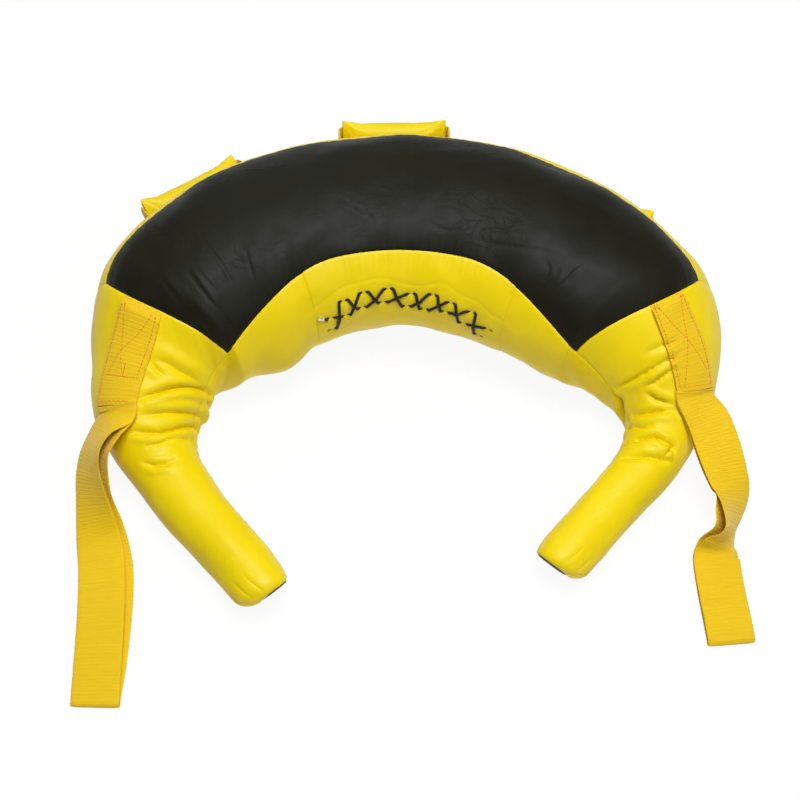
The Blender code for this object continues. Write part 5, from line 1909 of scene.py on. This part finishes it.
@dataclass
class Sleeve:
    """The padded leather sleeve of a grab handle, in the handle's own frame.

    X runs along the hinge, Y out to the grip and Z up. The skin is a tube whose mouths are
    pressed flat, so their corners stand out above and below.
    """

    length: float = 0.102
    reach: float = 0.032
    half_thick: Pair = (0.0112, 0.0046)
    half_high: Pair = (0.0149, 0.0184)
    wall: float = 0.0014
    swell: float = 0.0009
    pucker: float = 0.0005
    sag: float = 0.0004
    step: float = 0.0018
    columns: int = 64
    flare: float = 0.62
    gathers: tuple[tuple[float, ...], ...] = ((1.0, 9.0, 40.0, 0.0), (0.6, 14.0, 0.0, 1.3))
    frames: int = 20
    pressure: float = 4.0
    foam_space: float = 0.0003
    mass: float = 0.0005
    spare: float = 0.005

    def rings(self, half: float) -> Array:
        """Rings of the unfilled skin, from one end to the other."""
        x = np.linspace(-half, half, int(round(2.0 * half / self.step)) + 1)[:, None]
        turn = np.linspace(0.0, math.tau, self.columns, endpoint=False)[None]
        share = np.abs(x) / (self.length / 2.0)
        flat = share**4
        thick = self.half_thick[0] + (self.half_thick[1] - self.half_thick[0]) * share**3
        flare = smooth((share - self.flare) / (1.0 - self.flare))
        high = self.half_high[0] + (self.half_high[1] - self.half_high[0]) * flare
        lens = np.cos(turn) * np.abs(np.cos(turn)) ** (0.8 * flat)
        fold = self.pucker * flat * (1.0 - share) * 5.0
        fold = fold * sum(
            size * np.cos(rate * turn + drift * x + phase)
            for size, rate, drift, phase in self.gathers
        )
        sag = self.sag * (1.0 - share**2)
        y = self.reach + (thick + fold) * lens
        z = (high + fold) * np.sin(turn) - sag
        return np.stack(np.broadcast_arrays(x, y, z), axis=-1)

    def filled(self) -> Array:
        """Rings of the skin after its padding has swelled it, by cloth simulation."""
        flat = self.rings(self.length / 2.0)
        rows, columns = flat.shape[:2]
        faces = grid_faces(rows, columns, closed=True)
        item = add_mesh("sleeve_pattern", flat.reshape(-1, 3), faces, None)
        face_outwards(item)
        mouths = item.vertex_groups.new(name="mouths")
        edge = [*range(2 * columns), *range((rows - 2) * columns, rows * columns)]
        mouths.add(edge, 1.0, "REPLACE")
        cloth = item.modifiers.new("padding", "CLOTH")
        cloth.settings.quality = 8
        cloth.settings.mass = self.mass
        cloth.settings.shrink_min = -self.spare
        cloth.settings.use_pressure = True
        cloth.settings.uniform_pressure_force = self.pressure
        cloth.settings.vertex_group_mass = mouths.name
        cloth.settings.effector_weights.gravity = 0.0
        for frame in range(1, self.frames + 1):
            bpy.context.scene.frame_set(frame)
        seen = item.evaluated_get(bpy.context.evaluated_depsgraph_get())
        moved = np.array([vertex.co[:] for vertex in seen.data.vertices]).reshape(flat.shape) - flat
        bpy.data.objects.remove(item, do_unlink=True)
        bpy.context.scene.frame_set(1)
        far = np.linalg.norm(moved, axis=-1, keepdims=True)
        LOG.info("sleeve padding moved the skin %.2f mm at most", far.max() * 1000.0)
        return flat + moved * np.minimum(1.0, self.swell / np.maximum(far, 1e-9))

    @staticmethod
    def sunk(rings: Array, depth: float) -> Array:
        """The same rings drawn in towards their middles."""
        ray = rings - rings.mean(axis=1, keepdims=True)
        far = np.linalg.norm(ray, axis=-1, keepdims=True)
        return rings - ray * (depth / far)

    def skin(self, rings: Array) -> Array:
        """Closed loop of rings: outer skin, turned mouth, inner face and turned mouth."""
        inner = self.sunk(rings, self.wall)
        inner[..., 0] = rings[..., 0]
        lips = []
        for end, sign in ((-1, 1.0), (0, -1.0)):
            lip = (rings[end] + inner[end]) / 2.0
            lips.append(lip + np.array([sign * self.wall * 0.28, 0.0, 0.0]))
        return np.concatenate([rings, lips[0][None], inner[::-1], lips[1][None], rings[:1]])

    def pad(self, rings: Array, end_space: float, slot: Pair) -> Array:
        """Closed loop of rings round the foam pad and round the slot through it."""
        inner = self.sunk(rings, self.wall + self.foam_space)
        inside = inner[np.abs(rings[:, 0, 0]) < self.length / 2.0 - end_space]
        middle = np.array([0.0, self.reach, 0.0])
        turn = np.linspace(0.0, math.tau, self.columns, endpoint=False)
        y = np.clip(2.0 * np.cos(turn), -1.0, 1.0) * slot[0]
        z = np.clip(np.sin(turn) / math.sin(math.tau / 6.0), -1.0, 1.0) * slot[1]
        hole = middle + np.stack([np.zeros_like(turn), y, z], axis=-1)
        hole = hole[None] + inside[:, :1] * np.array([1.0, 0.0, 0.0])
        return np.concatenate([inside, hole[::-1], inside[:1]])


@dataclass
class GrabHandle:
    """A grab handle: a patch sewn to the bag, a webbing bow, a foam pad and a padded sleeve."""

    plan: HandlePlan
    cover: Cover
    sleeve: Sleeve
    rings: Array
    webbing: bpy.types.Material
    foam: bpy.types.Material
    thread: bpy.types.Material
    leg_space: float = 0.0545
    hinge_height: float = 0.0050
    patch_overrun: float = 0.0095
    patch_width: float = 0.018
    patch_gap: float = 0.0002
    patch_wall: float = 0.0013
    patch_steps: Triple = (0.002, 0.0015, 0.0008)
    patch_turn: float = 0.0006
    border_inset: float = 0.0028
    thick: float = 0.0022
    rib: Pair = (0.00008, 0.0031)
    bow_half: float = 0.0115
    bow_rise: tuple[float, ...] = (-0.0016, 0.0, 0.010, 0.020)
    bow_gather: Triple = (0.0014, 0.0025, 0.0070)
    bend: float = 0.003
    pad_end: float = 0.006
    pad_slot: Pair = (0.0015, 0.0119)
    fill: float = 0.8

    @property
    def name(self) -> str:
        """The handle's body, with which its pieces' names start."""
        return f"handle_{self.plan.word}"

    @property
    def station(self) -> float:
        """Station of the handle's middle."""
        return self.plan.share * self.cover.shape.crown_arc()

    @property
    def rate(self) -> float:
        """Metres along the bag's outer side for a metre of station."""
        along, _ = self.cover.shape.slopes(np.array([self.station]), np.zeros(1))
        return float(np.linalg.norm(along[0]))

    def frame(self) -> tuple[Array, Array]:
        """Origin on the hinge, and the frame's three directions as rows."""
        shape = self.cover.shape
        ends = self.station + np.array([-1.0, 1.0]) * self.leg_space / self.rate
        legs = shape.surface(ends, np.zeros(2)) + shape.normal(ends, np.zeros(2)) * self.hinge_height
        along = unit(legs[1] - legs[0])
        outward = unit(np.cross([0.0, 0.0, 1.0], along))
        up = np.cross(along, outward)
        tilt = math.radians(self.plan.tilt)
        turned = outward * math.cos(tilt) + up * math.sin(tilt)
        raised = up * math.cos(tilt) - outward * math.sin(tilt)
        return legs.mean(axis=0), np.stack([along, turned, raised])

    def placed(self, local: Array) -> Array:
        """Points of the handle's frame in the world."""
        origin, axes = self.frame()
        return origin + local @ axes

    def build(self) -> None:
        """Builds the handle's pieces."""
        pad = self.sleeve.pad(self.rings, self.pad_end, self.pad_slot)
        self.hollow("sleeve", self.sleeve.skin(self.rings), self.cover.yellow, "leather_yellow", "cover")
        self.hollow("foam", pad, self.foam, "foam", "pad")
        self.bow()
        self.patch()

    def hollow(
        self, word: str, loop: Array, material: bpy.types.Material, slot: str, node: str
    ) -> None:
        """A padded piece from rings that close on themselves.

        Args:
            word: The end of its name.
            loop: Its rings in the handle's frame, the first one repeated at the end.
            material: Its finish.
            slot: Its material slot, which is not used.
            node: The end of the name of the solid that it stands for.
        """
        rows, columns = loop.shape[0] - 1, loop.shape[1]
        faces = grid_faces(rows + 1, columns, closed=True) % (rows * columns)
        points = self.placed(loop[:-1].reshape(-1, 3))
        item = add_mesh(f"{self.name}_{word}", points, faces, material)
        face_outwards(item)
        settle(item, self.name, slot, f"{self.name}_{node}")

    def bow(self) -> None:
        """The webbing bow, gathered to a rolled root at each end."""
        reach, leg, bend, full = self.sleeve.reach, self.leg_space, self.bend, self.bow_half
        rise = np.linspace(self.bow_rise[0], reach - bend, 60)
        turn = np.linspace(0.0, math.pi / 2.0, 10)[1:-1]
        across = np.linspace(-leg + bend, leg - bend, 190)
        corner = -leg + bend * (1.0 - np.cos(turn))
        side = np.concatenate([np.full(len(rise), -leg), corner])
        height = np.concatenate([rise, reach - bend + bend * np.sin(turn)])
        wide = np.interp(rise, self.bow_rise, (*self.bow_gather, full))
        wide = np.concatenate([wide, np.full(len(turn), full)])
        x = np.concatenate([side, across, -side[::-1]])
        y = np.concatenate([height, np.full(len(across), reach), height[::-1]])
        half = np.concatenate([wide, np.full(len(across), full), wide[::-1]])
        centres = self.placed(np.stack([x, y, np.zeros_like(x)], axis=1))
        wides = np.broadcast_to(self.frame()[1][2], centres.shape)
        item = band(f"{self.name}_bow", centres, wides, half, self.thick, self.rib, self.webbing)
        settle(item, self.name, "webbing", f"{self.name}_webbing")

    def patch(self) -> None:
        """The leather strip that sews the bow to the bag, with its border of stitches."""
        shape, place = self.cover.shape, self.cover.place
        length, wide = 2.0 * (self.leg_space + self.patch_overrun), self.patch_width
        tall = shape.half_height(shape.half_width(np.array([self.station])))[0]
        reach = math.degrees(wide / 2.0 / tall)
        long_step, cross_step, roll = self.patch_steps
        along, along_depth = edge_steps(length, long_step, roll, Edge.TURNED, Edge.TURNED)
        around, around_depth = edge_steps(wide, cross_step, roll, Edge.TURNED, Edge.TURNED)
        s, a = np.meshgrid(along / length - 0.5, around / wide - 0.5, indexing="ij")
        station, angle = self.station + s * length / self.rate, a * 2.0 * reach
        top = self.patch_gap + self.patch_wall
        turned = np.maximum(along_depth[:, None], around_depth[None])
        points = place(station, angle, top - turned * self.patch_turn)
        normals = shape.normal(station, angle)
        item = skin(f"{self.name}_strip", points, self.patch_wall * 0.6, self.cover.yellow, normals)
        settle(item, "bag", "leather_yellow", f"{self.name}_patch")
        border = np.array([(-1, -1), (1, -1), (1, 1), (-1, 1), (-1, -1)], float)
        s = border[:, 0] * (length / 2.0 - self.border_inset) / self.rate + self.station
        a = border[:, 1] * reach * (1.0 - 2.0 * self.border_inset / wide)
        name = f"{self.name}_border_stitches"
        rows = Stitching(name, self.thread, "leather_yellow", thick=0.00045)
        for (s0, a0), (s1, a1) in zip(zip(s, a), zip(s[1:], a[1:])):
            station, angle = np.linspace(s0, s1, 40), np.linspace(a0, a1, 40)
            rows.run(place(station, angle, np.full(40, top)), shape.normal(station, angle))
        rows.build()


# Scene


@dataclass
class Studio:
    """Camera at the photograph's angle, soft light and a plain floor."""

    target: Triple = (-0.010, 0.01215, 0.0)
    elevation: float = math.radians(57.0)
    distance: float = 1.35
    lens: float = 64.71
    world_level: float = 0.14
    lit: Triple = (0.0, 0.05, 0.05)
    floor_level: float = -0.0003
    floor_glow: float = 0.93

    def build(self) -> None:
        """Sets the whole stage."""
        self.camera()
        self.lamp("key", (0.15, -0.05, 2.1), 0.9, 42.0)
        self.lamp("fill", (0.9, -1.3, 1.4), 1.3, 6.0)
        self.lamp("rim", (-0.5, 1.5, 1.3), 1.3, 5.0)
        self.world()
        self.floor()
        bpy.context.scene.view_settings.view_transform = "Standard"

    def camera(self) -> None:
        """The camera, with a square picture's field of view."""
        data = bpy.data.cameras.new("camera")
        data.lens = self.lens
        data.sensor_width = 36.0
        item = linked("camera", data)
        back = Vector((0.0, -math.cos(self.elevation), math.sin(self.elevation)))
        item.location = Vector(self.target) + back * self.distance
        item.rotation_euler = back.to_track_quat("Z", "Y").to_euler()
        bpy.context.scene.camera = item

    def lamp(self, name: str, place: Triple, size: float, power: float) -> None:
        """A square soft box that looks at the bag.

        Args:
            name: The lamp's name.
            place: Its place in metres.
            size: Length of its sides.
            power: Its power in watts.
        """
        data = bpy.data.lights.new(name, "AREA")
        data.shape = "SQUARE"
        data.size = size
        data.energy = power
        item = linked(name, data)
        item.location = place
        away = Vector(place) - Vector(self.lit)
        item.rotation_euler = away.to_track_quat("Z", "Y").to_euler()

    def world(self) -> None:
        """An even pale surrounding."""
        world = bpy.data.worlds.new("studio")
        world.use_nodes = True
        background = world.node_tree.nodes["Background"]
        background.inputs["Color"].default_value = (1.0, 1.0, 1.0, 1.0)
        background.inputs["Strength"].default_value = self.world_level
        bpy.context.scene.world = world

    def floor(self) -> None:
        """A large white floor that keeps the bag's soft shadow."""
        deselect()
        bpy.ops.mesh.primitive_plane_add(size=12.0, location=(0.0, 0.0, self.floor_level))
        item = bpy.context.object
        item.name = "studio_floor"
        bpy.ops.object.transform_apply(location=True)
        recipe = Recipe("floor_white")
        recipe.dress(Base_Color=(0.9, 0.9, 0.9, 1.0), Roughness=0.9)
        path = recipe.node("ShaderNodeLightPath", {}, {})
        seen = recipe.out(path, "Is Camera Ray")
        for ray in ("Is Glossy Ray", "Is Transmission Ray"):
            seen = seen.most(recipe.out(path, ray))
        white = {"Color": (1.0, 1.0, 1.0, 1.0), "Strength": 1.0}
        glow = recipe.out(recipe.node("ShaderNodeEmission", {}, white))
        plain = recipe.out(recipe.shader)
        mix = recipe.node("ShaderNodeMixShader", {}, {0: seen * self.floor_glow, 1: plain, 2: glow})
        recipe.put(recipe.tree.nodes["Material Output"].inputs[0], recipe.out(mix))
        item.data.materials.append(recipe.material)


def main() -> None:
    """Builds every piece in order."""
    logging.basicConfig(level=logging.INFO, format="%(message)s")
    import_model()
    Studio().build()
    shape = BagShape()
    cover = Cover(shape, Relief(shape), LEATHER_YELLOW.material(), LEATHER_BLACK.material())
    cover.build()
    pale, orange = THREAD_YELLOW.material(), THREAD_ORANGE.material()
    LacedClosure(cover, LACE_BLACK.material(), CRIMP_METAL.material(), pale).build()
    webbing, foam = WEBBING_YELLOW.material(), FOAM_GREY.material()
    Strap(Side.LEFT, LEFT_STRAP, cover, webbing, orange).build()
    Strap(Side.RIGHT, RIGHT_STRAP, cover, webbing, orange).build()
    sleeve = Sleeve()
    rings = sleeve.filled()
    for plan in HANDLE_PLANS:
        GrabHandle(plan, cover, sleeve, rings, webbing, foam, pale).build()


if __name__ == "__main__":
    main()
